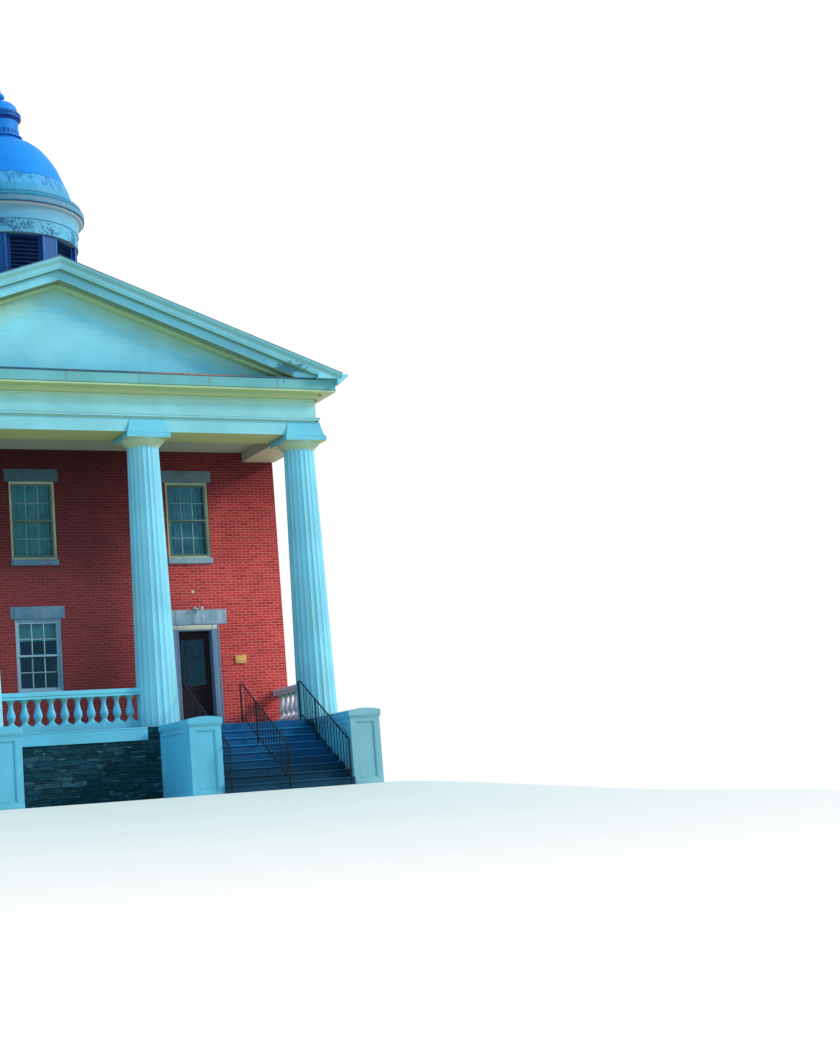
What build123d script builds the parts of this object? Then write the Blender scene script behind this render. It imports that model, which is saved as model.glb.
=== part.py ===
"""Small-town courthouse: a brick temple with a columned porch, a pediment and a louvred, domed cupola.

X runs to the right along the front, Y runs into the building, Z is up from the ground; millimetres.
"""
from build123d import *
import math
import os

os.makedirs("parts", exist_ok=True)

# Driving sizes, measured from the line through the column centres (DEPTH_* run back from it)
PORCH_H = 1600
GROUND_FLOOR_T = 150
UPPER_FLOOR_H, UPPER_FLOOR_T = 3350, 200
WALL_T = 400
WALL_HALF = 6070
BODY_DEPTH = 11000
FRONT_WALL_DEPTH = 2330
DOOR_X = WALL_HALF - 2290
SIDE_WINDOW_STEP = 3600

COLUMN_X = (1960, WALL_HALF - 280)
SHAFT_R0, SHAFT_R1 = 466, 356
FLUTES, FLUTE_FACETS = 20, 3
FLUTE_DEPTH = 22
SHAFT_TOP = PORCH_H + 6300
ABACUS_Z, ABACUS_H, ABACUS_HALF = SHAFT_TOP + 170, 110, 510
FLARE_TOP = SHAFT_TOP + 630

SOFFIT_Z, SIDE_SOFFIT_Z = SHAFT_TOP + 310, SHAFT_TOP + 230
FRONT_BEAM_W, SIDE_BEAM_W = 995, 850
BEAM_FACE = 405
SIDE_FACE = WALL_HALF + 50
TAENIA_Z, TAENIA_H, TAENIA_OUT = SOFFIT_Z + 340, 70, 60
BED_Z, BED_OUT = SOFFIT_Z + 850, 90
FASCIA_Z, FASCIA_H, FASCIA_OUT = BED_Z + 110, 290, 380
GUTTER_OUT, GUTTER_Z, GUTTER_H = 657, FASCIA_Z + 150, 250
GUTTER_LAP = 157
CEILING_Z, CEILING_T = SOFFIT_Z + 150, 40

ROOF_SLOPE = 0.3655
ROOF_T = 65
ROOF_HALF = SIDE_FACE + GUTTER_OUT - GUTTER_LAP
ROOF_OVER_GUTTER = 10.39
RIDGE_Z = GUTTER_Z + GUTTER_H + ROOF_OVER_GUTTER + ROOF_SLOPE * ROOF_HALF
ROOF_OUT = 545
RAKE_CROWN_H, RAKE_CROWN_OUT = 200, 510
RAKE_FASCIA_H = 230

PEDESTAL_X = (2110, COLUMN_X[1])
PEDESTAL_W = 700
PEDESTAL_FRONT = -2526
PORCH_FRONT = -580
CAP_H, CAP_OUT, CAP_RISE = 110, 30, 45

RISERS = 9
TREAD_RUN = 290
STAIR_TOP = -250
TREAD_T = 40
NOSING = 25
RAIL_H = 880
RAIL_FOOT_OUT = 110
RAIL_IN = (100, 140)
POST, BAR, PICKET = 32, 24, 14

UPPER_WINDOW = (PORCH_H + 4160, PORCH_H + 6000)
LOWER_WINDOW = (PORCH_H + 1100, PORCH_H + 2780)
WINDOW_HALF = 533
DOOR_FRAME_HALF, DOOR_TOP = 607, PORCH_H + 2550
LEAF_HALF, LEAF_T = 425, 48

CUPOLA_DEPTH = 3450
DRUM_R = 1650
DRUM_Z = (RIDGE_Z + 450, RIDGE_Z + 1450)
BAYS = 8
FRIEZE_R, FRIEZE_TOP = 1695, DRUM_Z[1] + 650
DRUM_CORNICE_R, DRUM_CORNICE_TOP = 1875, FRIEZE_TOP + 350

BACK, BACK_FACE = FRONT_WALL_DEPTH + BODY_DEPTH, 50
RAIL_FOOT = STAIR_TOP - (RISERS - 1) * TREAD_RUN - RAIL_FOOT_OUT
FOREMOST = min(PEDESTAL_FRONT - CAP_OUT, RAIL_FOOT - POST / 2)
# The origin is under the middle of the whole building, so the column line lies this far in front of it
COLUMN_LINE = -(FOREMOST + BACK + BACK_FACE + ROOF_OUT) / 2
FRONT_WALL_Y = COLUMN_LINE + FRONT_WALL_DEPTH
BACK_WALL_Y = COLUMN_LINE + BACK
RISE = PORCH_H / RISERS


def block(x0, x1, y0, y1, z0, z1):
    """A box between two corners."""
    size = (x1 - x0, y1 - y0, z1 - z0)
    return Pos(x0, y0, z0) * Box(*size, align=(Align.MIN, Align.MIN, Align.MIN))


def prism_x(points, x0, x1):
    """A solid whose outline in Y and Z runs from x0 to x1."""
    face = make_face(Polyline(*[(0, y, z) for y, z in points], close=True))
    return Pos(x0, 0, 0) * extrude(face, amount=x1 - x0, dir=(1, 0, 0))


def prism_y(points, y0, y1):
    """A solid whose outline in X and Z runs from y0 to y1."""
    face = make_face(Polyline(*[(x, 0, z) for x, z in points], close=True))
    return Pos(0, y0, 0) * extrude(face, amount=y1 - y0, dir=(0, 1, 0))


def prism_z(points, z0, z1):
    """A solid whose outline in plan runs from z0 to z1."""
    face = make_face(Polyline(*[(x, y, 0) for x, y in points], close=True))
    return Pos(0, 0, z0) * extrude(face, amount=z1 - z0, dir=(0, 0, 1))


def flat(*corners):
    return Face(Wire.make_polygon(corners, close=True))


def faceted(rings):
    """A closed solid with flat facets between rings of equally many points, the lowest ring first."""
    sides = [flat(low[i - 1], low[i], high[i], high[i - 1])
             for low, high in zip(rings, rings[1:]) for i in range(len(low))]
    return Solid(Shell(sides + [flat(*reversed(rings[0])), flat(*rings[-1])]))


def turned(points, sides):
    """A turned piece in flat facets; points are (radius, height) from the foot up."""
    turns = [2 * math.pi * i / sides for i in range(sides)]
    return faceted([[(r * math.cos(a), r * math.sin(a), z) for a in turns] for r, z in points])


def mirrored(shape):
    return mirror(shape, about=Plane.YZ)


def solids_of(*shapes):
    return [s for shape in shapes for s in shape.solids()]


def save(node, *shapes):
    solids = solids_of(*shapes)
    export_step(solids[0] if len(solids) == 1 else Compound(children=solids), f"parts/{node}.step")


# Walls of one side are drawn with their outer face on Y = 0, facing -Y, then turned into place
class Side:
    def __init__(self, turn, x, y, half, windows):
        self.place = Pos(x, y, 0) * Rot(0, 0, turn)
        self.half = half
        self.windows = [(u, z) for u in windows for z in (LOWER_WINDOW, UPPER_WINDOW)]


SIDE_MID = (FRONT_WALL_Y + BACK_WALL_Y) / 2
SIDE_HALF = BODY_DEPTH / 2 - WALL_T
FRONT = Side(0, 0, FRONT_WALL_Y, WALL_HALF, (0,))
FRONT.windows += [(-DOOR_X, UPPER_WINDOW), (DOOR_X, UPPER_WINDOW)]
BACK_SIDE = Side(180, 0, BACK_WALL_Y, WALL_HALF, (-DOOR_X, 0, DOOR_X))
RIGHT = Side(90, WALL_HALF, SIDE_MID, SIDE_HALF, (-SIDE_WINDOW_STEP, 0, SIDE_WINDOW_STEP))
LEFT = Side(-90, -WALL_HALF, SIDE_MID, SIDE_HALF, (-SIDE_WINDOW_STEP, 0, SIDE_WINDOW_STEP))

LINTEL_H, LINTEL_DEPTH, LINTEL_OUT, LINTEL_GAP = 290, 120, 15, 104
SILL_H, SILL_DEPTH, SILL_OUT, SILL_GAP = 140, 200, 50, 27
DOOR_LINTEL_HALF, DOOR_LINTEL_H = 820, 350


def window_lintel(u, z, grow=0):
    half = WINDOW_HALF + LINTEL_GAP
    return block(u - half, u + half, -LINTEL_OUT - grow, LINTEL_DEPTH, z[1], z[1] + LINTEL_H)


def window_sill(u, z, grow=0):
    half = WINDOW_HALF + SILL_GAP
    return block(u - half, u + half, -SILL_OUT - grow, SILL_DEPTH, z[0] - SILL_H, z[0])


def door_lintel(u):
    return block(u - DOOR_LINTEL_HALF, u + DOOR_LINTEL_HALF, -LINTEL_OUT, LINTEL_DEPTH,
                 DOOR_TOP, DOOR_TOP + DOOR_LINTEL_H)


def pierced_wall(side, top):
    """A brick wall with its window openings and the beds of its stone lintels and sills."""
    wall = block(-side.half, side.half, 0, WALL_T, PORCH_H, top)
    for u, z in side.windows:
        wall -= block(u - WINDOW_HALF, u + WINDOW_HALF, -1, WALL_T + 1, *z)
        wall -= window_lintel(u, z)
        wall -= window_sill(u, z)
    return wall


FRAME_IN, FRAME_DEPTH, FRAME_W = 40, 140, 55
SASH_T, STILE_W = 40, 48


def sash(u, z0, z1, y):
    """One sliding sash: two stiles and two rails around its glass."""
    half = WINDOW_HALF - FRAME_W
    inner = half - STILE_W
    body = block(u - half, u + half, y, y + SASH_T, z0, z1)
    return body - block(u - inner, u + inner, y - 1, y + SASH_T + 1, z0 + STILE_W, z1 - STILE_W)


def sashed_window(u, z):
    """A double-hung window: a box frame, the upper sash outside and the lower one behind it."""
    z0, z1 = z
    mid = (z0 + z1) / 2
    frame = block(u - WINDOW_HALF, u + WINDOW_HALF, FRAME_IN, FRAME_IN + FRAME_DEPTH, z0, z1)
    half = WINDOW_HALF - FRAME_W
    frame -= block(u - half, u + half, 0, WALL_T, z0 + FRAME_W, z1 - FRAME_W)
    upper = sash(u, mid - STILE_W / 2, z1 - FRAME_W, FRAME_IN + 20)
    lower = sash(u, z0 + FRAME_W, mid + STILE_W / 2, FRAME_IN + 20 + SASH_T)
    return frame + upper + lower


GLASS_T = 5


def window_panes(u, z):
    """The glass of both sashes, a sheet puttied against the back of each."""
    z0, z1 = z
    mid = (z0 + z1) / 2
    half = WINDOW_HALF - FRAME_W - STILE_W / 2
    y_up = FRAME_IN + 20 + SASH_T
    y_low = y_up + SASH_T
    upper = block(u - half, u + half, y_up, y_up + GLASS_T, mid + STILE_W / 2 + 3, z1 - FRAME_W - 20)
    lower = block(u - half, u + half, y_low, y_low + GLASS_T, z0 + FRAME_W + 20, mid)
    return [upper, lower]


def foundation_walls():
    half, y0, y1 = WALL_HALF + 30, FRONT_WALL_Y, BACK_WALL_Y + 30
    ring = block(-half, half, y0, y1, 0, PORCH_H)
    ring -= block(-half + 600, half - 600, y0 + 600, y1 - 600, -1, PORCH_H)
    return ring - ground_floor()


def room_slab(z0, z1):
    inner = WALL_HALF - WALL_T
    return block(-inner, inner, FRONT_WALL_Y + WALL_T, BACK_WALL_Y - WALL_T, z0, z1)


def ground_floor():
    return room_slab(PORCH_H - GROUND_FLOOR_T, PORCH_H)


def upper_floor():
    return room_slab(PORCH_H + UPPER_FLOOR_H, PORCH_H + UPPER_FLOOR_H + UPPER_FLOOR_T)


FLOOR_T = 100


def porch_plan(back):
    """Half outline of the porch: the centre bay and the corner pier stand forward of the stair bay."""
    front = COLUMN_LINE + PORCH_FRONT
    recess = COLUMN_LINE + STAIR_TOP
    pier_out = PEDESTAL_X[0] + PEDESTAL_W / 2
    corner_in = PEDESTAL_X[1] - PEDESTAL_W / 2
    half = WALL_HALF + 30
    right = [(pier_out, front), (pier_out, recess), (corner_in, recess), (corner_in, front),
             (half, front), (half, back)]
    return right + [(-x, y) for x, y in reversed(right)]


def porch_foundation():
    back = FRONT_WALL_Y
    body = prism_z(porch_plan(back), 0, PORCH_H - FLOOR_T)
    room = block(-WALL_HALF + 500, WALL_HALF - 500, COLUMN_LINE + 450, back + 1, -1, PORCH_H)
    body -= room
    pier_x0, pier_x1 = COLUMN_X[0] - SHAFT_R0, PEDESTAL_X[0] + PEDESTAL_W / 2
    front = COLUMN_LINE + PORCH_FRONT
    for pier in (block(pier_x0, pier_x1, front - BOARD_T, front, 0, PORCH_H),):
        body = body + pier + mirrored(pier)
    return body


BOARD_T, BOARD_H = 30, 280


def porch_fascia_board():
    """White board on the edge of the porch floor, between the stone piers."""
    half = COLUMN_X[0] - SHAFT_R0
    front = COLUMN_LINE + PORCH_FRONT
    return block(-half, half, front - BOARD_T, front, PORCH_H - BOARD_H, PORCH_H)


def porch_floor():
    return prism_z(porch_plan(FRONT_WALL_Y), PORCH_H - FLOOR_T, PORCH_H)


def front_wall_parts():
    """The front wall, parted beside and over its two doorways."""
    wall = FRONT.place * pierced_wall(FRONT, CEILING_Z + CEILING_T)
    corner = block(SIDE_FACE - SIDE_BEAM_W, SIDE_FACE, FRONT_WALL_Y - 1, FRONT_WALL_Y + WALL_T + 1,
                   SOFFIT_Z, FRIEZE_TOP_Z)
    wall -= corner + mirrored(corner)
    for x in (-DOOR_X, DOOR_X):
        wall -= FRONT.place * door_lintel(x)
    x0, x1 = DOOR_X - DOOR_FRAME_HALF, DOOR_X + DOOR_FRAME_HALF
    y0, y1 = FRONT_WALL_Y - 1, FRONT_WALL_Y + WALL_T + 1
    middle = wall & block(-x0, x0, y0, y1, 0, RIDGE_Z)
    right = wall & block(x1, WALL_HALF, y0, y1, 0, RIDGE_Z)
    over = wall & block(x0, x1, y0, y1, DOOR_TOP, RIDGE_Z)
    return {
        "front_wall_middle": [middle],
        "front_wall_ends": [right, mirrored(right)],
        "front_wall_over_doors": [over, mirrored(over)],
    }


LEAF_Z = (PORCH_H + 50, DOOR_TOP - 140)
LEAF_Y = 207
LIGHT_Z = (PORCH_H + 1080, PORCH_H + 2230)
LEAF_STILE = 110
DOOR_GAP = 10
HINGE_R, HINGE_GAP, HINGE_H = 5.7, 0.3, 100
HINGE_X, HINGE_Y = DOOR_X + LEAF_HALF - 1, LEAF_Y + LEAF_T + HINGE_R + HINGE_GAP


def round_barrel(length):
    return Cylinder(HINGE_R, length, align=(Align.CENTER, Align.CENTER, Align.MIN))


def flat_barrel(length):
    """For the door that is kept shut."""
    return turned([(HINGE_R, 0), (HINGE_R, length)], 8)


def knuckles(part, reach, y0, y1, barrel):
    """Barrels of three loose-joint hinges on one line, each with the plate that ties it to door or jamb."""
    pieces = []
    x0, x1 = sorted((HINGE_X, reach))
    for z in (LEAF_Z[0] + 200, (LEAF_Z[0] + LEAF_Z[1] - HINGE_H) / 2, LEAF_Z[1] - 200 - HINGE_H):
        low = z + part * HINGE_H / 2 + HINGE_GAP / 2
        high = low + HINGE_H / 2 - HINGE_GAP
        pieces.append(Pos(HINGE_X, HINGE_Y, low) * barrel(high - low) + block(x0, x1, y0, y1, low, high))
    return pieces


def door_frame(barrel):
    """Deep panelled jambs and head around the leaf, with a stop in front of it."""
    x, w = DOOR_X, DOOR_FRAME_HALF
    outer = block(x - w, x + w, 0, 300, PORCH_H, DOOR_TOP)
    stop = block(x - LEAF_HALF + 10, x + LEAF_HALF - 10, -1, 200, PORCH_H + 40, DOOR_TOP - 150)
    side = x + LEAF_HALF + DOOR_GAP
    rebate = block(2 * x - side, side, 199, 301, PORCH_H + 40, DOOR_TOP - 130)
    frame = outer - stop - rebate
    for knuckle in knuckles(0, side + 1, HINGE_Y - 4, HINGE_Y + 4, barrel):
        frame += knuckle
    return FRONT.place * frame


def door_leaf(barrel):
    """A leaf with a tall glass light over two long sunk panels."""
    x = DOOR_X
    leaf = block(x - LEAF_HALF, x + LEAF_HALF, LEAF_Y, LEAF_Y + LEAF_T, *LEAF_Z)
    inner = LEAF_HALF - LEAF_STILE
    leaf -= block(x - inner, x + inner, LEAF_Y - 1, LEAF_Y + LEAF_T + 1, *LIGHT_Z)
    panel_h = 330
    for z in (LEAF_Z[0] + 180, LEAF_Z[0] + 180 + panel_h + 90):
        leaf -= block(x - inner, x + inner, LEAF_Y - 1, LEAF_Y + 12, z, z + panel_h)
        leaf -= block(x - inner, x + inner, LEAF_Y + LEAF_T - 12, LEAF_Y + LEAF_T + 1, z, z + panel_h)
    for knuckle in knuckles(1, HINGE_X - 40, LEAF_Y + LEAF_T - 1, LEAF_Y + LEAF_T + 4, barrel):
        leaf += knuckle
    return FRONT.place * leaf


def door_light():
    inner = LEAF_HALF - LEAF_STILE
    mid = LEAF_Y + LEAF_T / 2
    return FRONT.place * block(DOOR_X - inner, DOOR_X + inner, mid - 3, mid + 3, *LIGHT_Z)


def flute_ring(r, z):
    """Outline of the shaft: shallow round flutes that meet in sharp arrises."""
    step = 2 * math.pi / FLUTES
    points = []
    for i in range(FLUTES * FLUTE_FACETS):
        along = (i % FLUTE_FACETS) / FLUTE_FACETS
        inner = r - FLUTE_DEPTH * r / SHAFT_R0 * math.sin(math.pi * along)
        a = step * i / FLUTE_FACETS
        points.append((inner * math.cos(a), inner * math.sin(a), z))
    return points


def column_shaft(x):
    return Pos(x, COLUMN_LINE, 0) * faceted([flute_ring(SHAFT_R0, PORCH_H), flute_ring(SHAFT_R1, SHAFT_TOP)])


CAPITAL_SIDES = FLUTES
ECHINUS = [(8, 0), (48, 50), (98, 100), (139, 150), (149, 170)]
FLARE = [(0, 0), (0.42, 0.25), (0.75, 0.62), (1, 1)]


def square_ring(half, z):
    return [(-half, -half, z), (half, -half, z), (half, half, z), (-half, half, z)]


def capital(x):
    """A bulging echinus and a square abacus, with hollow-curved cover boards rising to the beam's face."""
    echinus = turned([(SHAFT_R1 + r, SHAFT_TOP + z) for r, z in ECHINUS], CAPITAL_SIDES)
    a, top = ABACUS_HALF, ABACUS_Z + ABACUS_H
    flare = [square_ring(a - (a - BEAM_FACE) * t, top + (FLARE_TOP - top) * z) for t, z in FLARE]
    return Pos(x, COLUMN_LINE, 0) * (echinus + faceted([square_ring(a, ABACUS_Z)] + flare))


FRIEZE_TOP_Z = FASCIA_Z + FASCIA_H


def entablature_outline(width):
    """Architrave, taenia, frieze, bed mould and cornice, as (distance out from the face, height)."""
    taenia = [(0, TAENIA_Z), (TAENIA_OUT, TAENIA_Z), (TAENIA_OUT, TAENIA_Z + TAENIA_H), (0, TAENIA_Z + TAENIA_H)]
    cornice = [(0, BED_Z), (BED_OUT, FASCIA_Z), (FASCIA_OUT, FASCIA_Z), (FASCIA_OUT, FRIEZE_TOP_Z)]
    return [(-width, SOFFIT_Z), (0, SOFFIT_Z)] + taenia + cornice + [(-width, FRIEZE_TOP_Z)]


ENT_FRONT = COLUMN_LINE - BEAM_FACE
ENT_BACK = BACK_WALL_Y + BACK_FACE
MITRE_REACH = 2 * FASCIA_OUT


def end_beam(face, out):
    """The front (out = -1) or back (out = 1) length, cut to a mitre at both corners."""
    s, r, w = SIDE_FACE, MITRE_REACH, FRONT_BEAM_W
    body = prism_x([(face + out * d, z) for d, z in entablature_outline(w)], -s - r, s + r)
    plan = [(-s - r, face + out * r), (s + r, face + out * r), (s, face),
            (s - SIDE_BEAM_W, face - out * w), (-s + SIDE_BEAM_W, face - out * w), (-s, face)]
    return body & prism_z(plan, 0, RIDGE_Z)


def roof_z(x, drop=0):
    return RIDGE_Z - drop - ROOF_SLOPE * abs(x)


def side_beam():
    """The right side's length over the porch and the side wall, with its lower boxed soffit."""
    s, r, w = SIDE_FACE, MITRE_REACH, FRONT_BEAM_W
    body = prism_y([(s + d, z) for d, z in entablature_outline(SIDE_BEAM_W)], ENT_FRONT - r, ENT_BACK + r)
    plan = [(s + r, ENT_FRONT - r), (s + r, ENT_BACK + r), (s, ENT_BACK), (s - SIDE_BEAM_W, ENT_BACK - w),
            (s - SIDE_BEAM_W, ENT_FRONT + w), (s, ENT_FRONT)]
    soffit = block(s - SIDE_BEAM_W, s, COLUMN_LINE + ABACUS_HALF, FRONT_WALL_Y, SIDE_SOFFIT_Z, SOFFIT_Z)
    return body & prism_z(plan, 0, RIDGE_Z), soffit


def eaves_right():
    """Rafter plate and built-in gutter with a raised lip, along the side under the roof edge."""
    x0, x1 = SIDE_FACE - 100, SIDE_FACE + FASCIA_OUT
    tip = SIDE_FACE + GUTTER_OUT
    plate = [(x0, FRIEZE_TOP_Z), (x1, FRIEZE_TOP_Z), (x1, GUTTER_Z), (x1 + 60, GUTTER_Z + 20),
             (tip - 30, GUTTER_Z + GUTTER_H - 60), (tip, GUTTER_Z + GUTTER_H - 50),
             (tip, GUTTER_Z + GUTTER_H), (ROOF_HALF, GUTTER_Z + GUTTER_H),
             (ROOF_HALF, roof_z(ROOF_HALF, ROOF_T)), (x0, roof_z(x0, ROOF_T))]
    return prism_y(plate, ENT_FRONT - ROOF_OUT, ENT_BACK + ROOF_OUT)


def tympanum(y0, y1):
    foot = (RIDGE_Z - ROOF_T - FRIEZE_TOP_Z) / ROOF_SLOPE
    half = min(foot, SIDE_FACE - 100)
    top = roof_z(half, ROOF_T)
    return prism_y([(-half, FRIEZE_TOP_Z), (half, FRIEZE_TOP_Z), (half, top), (0, RIDGE_Z - ROOF_T),
                    (-half, top)], y0, y1)


def rake(y0, y1, drop, height):
    """A chevron band under the roof slope."""
    half = ROOF_HALF
    upper = [(-half, roof_z(half, drop)), (0, RIDGE_Z - drop), (half, roof_z(half, drop))]
    lower = [(half, roof_z(half, drop + height)), (0, RIDGE_Z - drop - height),
             (-half, roof_z(half, drop + height))]
    return prism_y(upper + lower, y0, y1)


def raking_cornice(face, out):
    """Crown and fascia boards that follow a gable, above the level cornice."""
    crown = rake(*sorted((face + out * RAKE_CROWN_OUT, face)), ROOF_T, RAKE_CROWN_H)
    fascia = rake(*sorted((face + out * FASCIA_OUT, face)), ROOF_T + RAKE_CROWN_H, RAKE_FASCIA_H)
    body = crown + fascia
    reach = SIDE_FACE + FASCIA_OUT
    body &= block(-reach, reach, face - RAKE_CROWN_OUT, face + RAKE_CROWN_OUT, FRIEZE_TOP_Z, RIDGE_Z)
    for eaves in (eaves_right(), mirrored(eaves_right())):
        body -= eaves
    return body.solids().sort_by(SortBy.VOLUME)[-1]


def roof_right():
    outline = [(0, RIDGE_Z), (ROOF_HALF, roof_z(ROOF_HALF)), (ROOF_HALF, roof_z(ROOF_HALF, ROOF_T)),
               (0, RIDGE_Z - ROOF_T)]
    return prism_y(outline, ENT_FRONT - ROOF_OUT, ENT_BACK + ROOF_OUT)


def portico_ceiling():
    half = SIDE_FACE - SIDE_BEAM_W
    return block(-half, half, ENT_FRONT + FRONT_BEAM_W, FRONT_WALL_Y, CEILING_Z, CEILING_Z + CEILING_T)


CUPOLA_Y = COLUMN_LINE + CUPOLA_DEPTH
AT_CUPOLA = Pos(0, CUPOLA_Y, 0)
DRUM_T = 150


CUPOLA_SIDES = 24


def tube(r_out, r_in, z0, z1):
    return turned([(r_out, z0), (r_out, z1)], CUPOLA_SIDES) - turned([(r_in, z0), (r_in, z1)], CUPOLA_SIDES)


CURB_OUT, CURB_IN = 90, 250


def cupola_base():
    """A round curb that stands on the two roof slopes."""
    foot = roof_z(DRUM_R + CURB_OUT)
    curb = AT_CUPOLA * tube(DRUM_R + CURB_OUT, DRUM_R - CURB_IN, foot, DRUM_Z[0])
    half = ROOF_HALF
    below = prism_y([(-half, roof_z(half)), (0, RIDGE_Z), (half, roof_z(half)), (half, 0), (-half, 0)],
                    CUPOLA_Y - 2 * DRUM_R, CUPOLA_Y + 2 * DRUM_R)
    return curb - below


def wedge(angle, width, r, z0, z1):
    """A slice of a round plan: width and angle in degrees, measured from the front."""
    a, b = (math.radians(angle - 90 + k * width / 2) for k in (-1, 1))
    return prism_z([(0, 0), (r * math.cos(a), r * math.sin(a)), (r * math.cos(b), r * math.sin(b))], z0, z1)


PIER_ANGLE = 15


def drum_piers():
    ring = tube(DRUM_R, DRUM_R - DRUM_T, *DRUM_Z)
    bay = 360 / BAYS
    return [AT_CUPOLA * (ring & wedge((i + 0.5) * bay, PIER_ANGLE, 2 * DRUM_R, *DRUM_Z)) for i in range(BAYS)]


SLATS = 9
SLAT_T, SLAT_W, SLAT_TILT = 14, 95, 35


def louvre(i):
    """A framed bay of tilted slats between two piers."""
    bay = 360 / BAYS
    open_angle = bay - PIER_ANGLE
    z0, z1 = DRUM_Z
    depth, rim = 70, 60
    y0 = -(DRUM_R - 60) * math.cos(math.radians(open_angle / 2))
    half = -(y0 + depth) * math.tan(math.radians(open_angle / 2))
    frame = block(-DRUM_R, DRUM_R, y0, y0 + depth, z0, z1) & wedge(0, open_angle, 2 * DRUM_R, z0, z1)
    frame -= block(-half + rim, half - rim, y0 - 1, y0 + depth + 1, z0 + rim, z1 - rim)
    pitch = (z1 - z0 - 2 * rim) / SLATS
    for k in range(SLATS):
        z = z0 + rim + (k + 0.5) * pitch
        slat = Box(2 * (half - rim), SLAT_W * 0.7, SLAT_T)
        frame += Pos(0, y0 + depth / 2, z) * Rot(-SLAT_TILT, 0, 0) * slat
    return AT_CUPOLA * Rot(0, 0, i * bay) * frame


def drum_entablature():
    """The plain band over the louvres, its joint, and the cornice that carries the dome."""
    z0, top = DRUM_Z[1], DRUM_CORNICE_TOP
    band = [(FRIEZE_R, z0), (FRIEZE_R, FRIEZE_TOP - 320), (FRIEZE_R + 22, FRIEZE_TOP - 300),
            (FRIEZE_R + 22, FRIEZE_TOP - 60), (FRIEZE_R + 60, FRIEZE_TOP)]
    cornice = [(DRUM_CORNICE_R - 30, FRIEZE_TOP + 60), (DRUM_CORNICE_R, FRIEZE_TOP + 150),
               (DRUM_CORNICE_R, FRIEZE_TOP + 220), (DRUM_CORNICE_R - 60, top)]
    inner = DRUM_R - DRUM_T
    return AT_CUPOLA * (turned(band + cornice, CUPOLA_SIDES) - turned([(inner, z0), (inner, top)], CUPOLA_SIDES))


DOME_T = 60
DOME_POINTS = [(1620, 0), (1590, 260), (1530, 450), (1455, 630), (1365, 850), (1280, 1050), (1130, 1290),
               (945, 1520), (700, 1710), (430, 1820)]


def dome():
    """Boarded foot and metal dome in one stilted curve, hollow."""
    outer = [(r, DRUM_CORNICE_TOP + z) for r, z in DOME_POINTS]
    inner = [(r - DOME_T, z - DOME_T * i / len(outer)) for i, (r, z) in enumerate(outer)][::2]
    return AT_CUPOLA * (turned(outer, CUPOLA_SIDES) - turned(inner, CUPOLA_SIDES))


LANTERN_SIDES = 12
LANTERN_Z = DRUM_CORNICE_TOP + DOME_POINTS[-1][1]


def lantern():
    """A small closed lantern with a base flashing and a cornice."""
    outline = [(430, 0), (430, 60), (487, 70), (487, 115), (400, 130), (400, 510), (425, 530), (475, 570),
               (475, 690), (405, 760)]
    return AT_CUPOLA * turned([(r, LANTERN_Z + z) for r, z in outline], LANTERN_SIDES)


def lantern_dome():
    """A little dome drawn up into a bulb and a point."""
    cap = [(400, 0), (385, 100), (325, 190), (225, 260), (110, 310)]
    bulb = [(70, 355), (105, 420), (70, 500), (25, 540), (12, 650)]
    return AT_CUPOLA * turned([(r, LANTERN_Z + 760 + z) for r, z in cap + bulb], LANTERN_SIDES)


def pedestal(x):
    """A panelled cheek block beside a stair, with a moulded cap whose top is slightly arched."""
    w = PEDESTAL_W / 2
    y0, y1 = COLUMN_LINE + PEDESTAL_FRONT, COLUMN_LINE + PORCH_FRONT - BOARD_T
    top = PORCH_H - CAP_H
    body = block(-w, w, y0, y1, 0, top)
    rim, sunk = 130, 25
    body -= block(-w + rim, w - rim, y0 - 1, y0 + sunk, rim, top - rim)
    for s in (-1, 1):
        side = block(w - sunk, w + 1, y0 + rim, y1 - rim, rim, top - rim)
        body -= side if s > 0 else mirrored(side)
    o = w + CAP_OUT
    z = PORCH_H
    edges = [Line((-o, 0, top), (o, 0, top)), Line((o, 0, top), (o, 0, z)),
             ThreePointArc((o, 0, z), (0, 0, z + CAP_RISE), (-o, 0, z)), Line((-o, 0, z), (-o, 0, top))]
    cap = extrude(make_face(edges), amount=y1 - y0 + CAP_OUT, dir=(0, 1, 0))
    return Pos(x, 0, 0) * (body + Pos(0, y0 - CAP_OUT, 0) * cap)


def stair_x():
    return PEDESTAL_X[0] + PEDESTAL_W / 2, PEDESTAL_X[1] - PEDESTAL_W / 2


def stair_carriage():
    """Closed risers and strings of one flight, without the tread boards."""
    y = COLUMN_LINE + STAIR_TOP
    points = [(y, 0)]
    z = PORCH_H - RISE - TREAD_T
    points.append((y, z))
    for k in range(1, RISERS):
        points += [(y - TREAD_RUN * k, z)]
        z -= RISE
        points += [(y - TREAD_RUN * k, max(z, 0))]
    x0, x1 = stair_x()
    return prism_x(points, x0, x1)


def stair_treads():
    x0, x1 = stair_x()
    boards = []
    for k in range(1, RISERS):
        back = COLUMN_LINE + STAIR_TOP - TREAD_RUN * (k - 1)
        z = PORCH_H - RISE * k
        boards.append(block(x0, x1, back - TREAD_RUN - NOSING, back, z - TREAD_T, z))
    return boards


def rail_x():
    """Places of the three railings across one flight."""
    x0, x1 = stair_x()
    return x0 + RAIL_IN[0], DOOR_X + RAIL_IN[0], x1 - RAIL_IN[1]


def rail_z(y):
    """Height of the handrail over the nosing line at Y."""
    top = COLUMN_LINE + STAIR_TOP
    return PORCH_H + RAIL_H + min(0, (y - top)) * RISE / TREAD_RUN


def sloped_bar(y0, y1, drop, t):
    points = [(y0, rail_z(y0) - drop), (y1, rail_z(y1) - drop), (y1, rail_z(y1) - drop - t),
              (y0, rail_z(y0) - drop - t)]
    return prism_x(points, -t / 2, t / 2)


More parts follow.
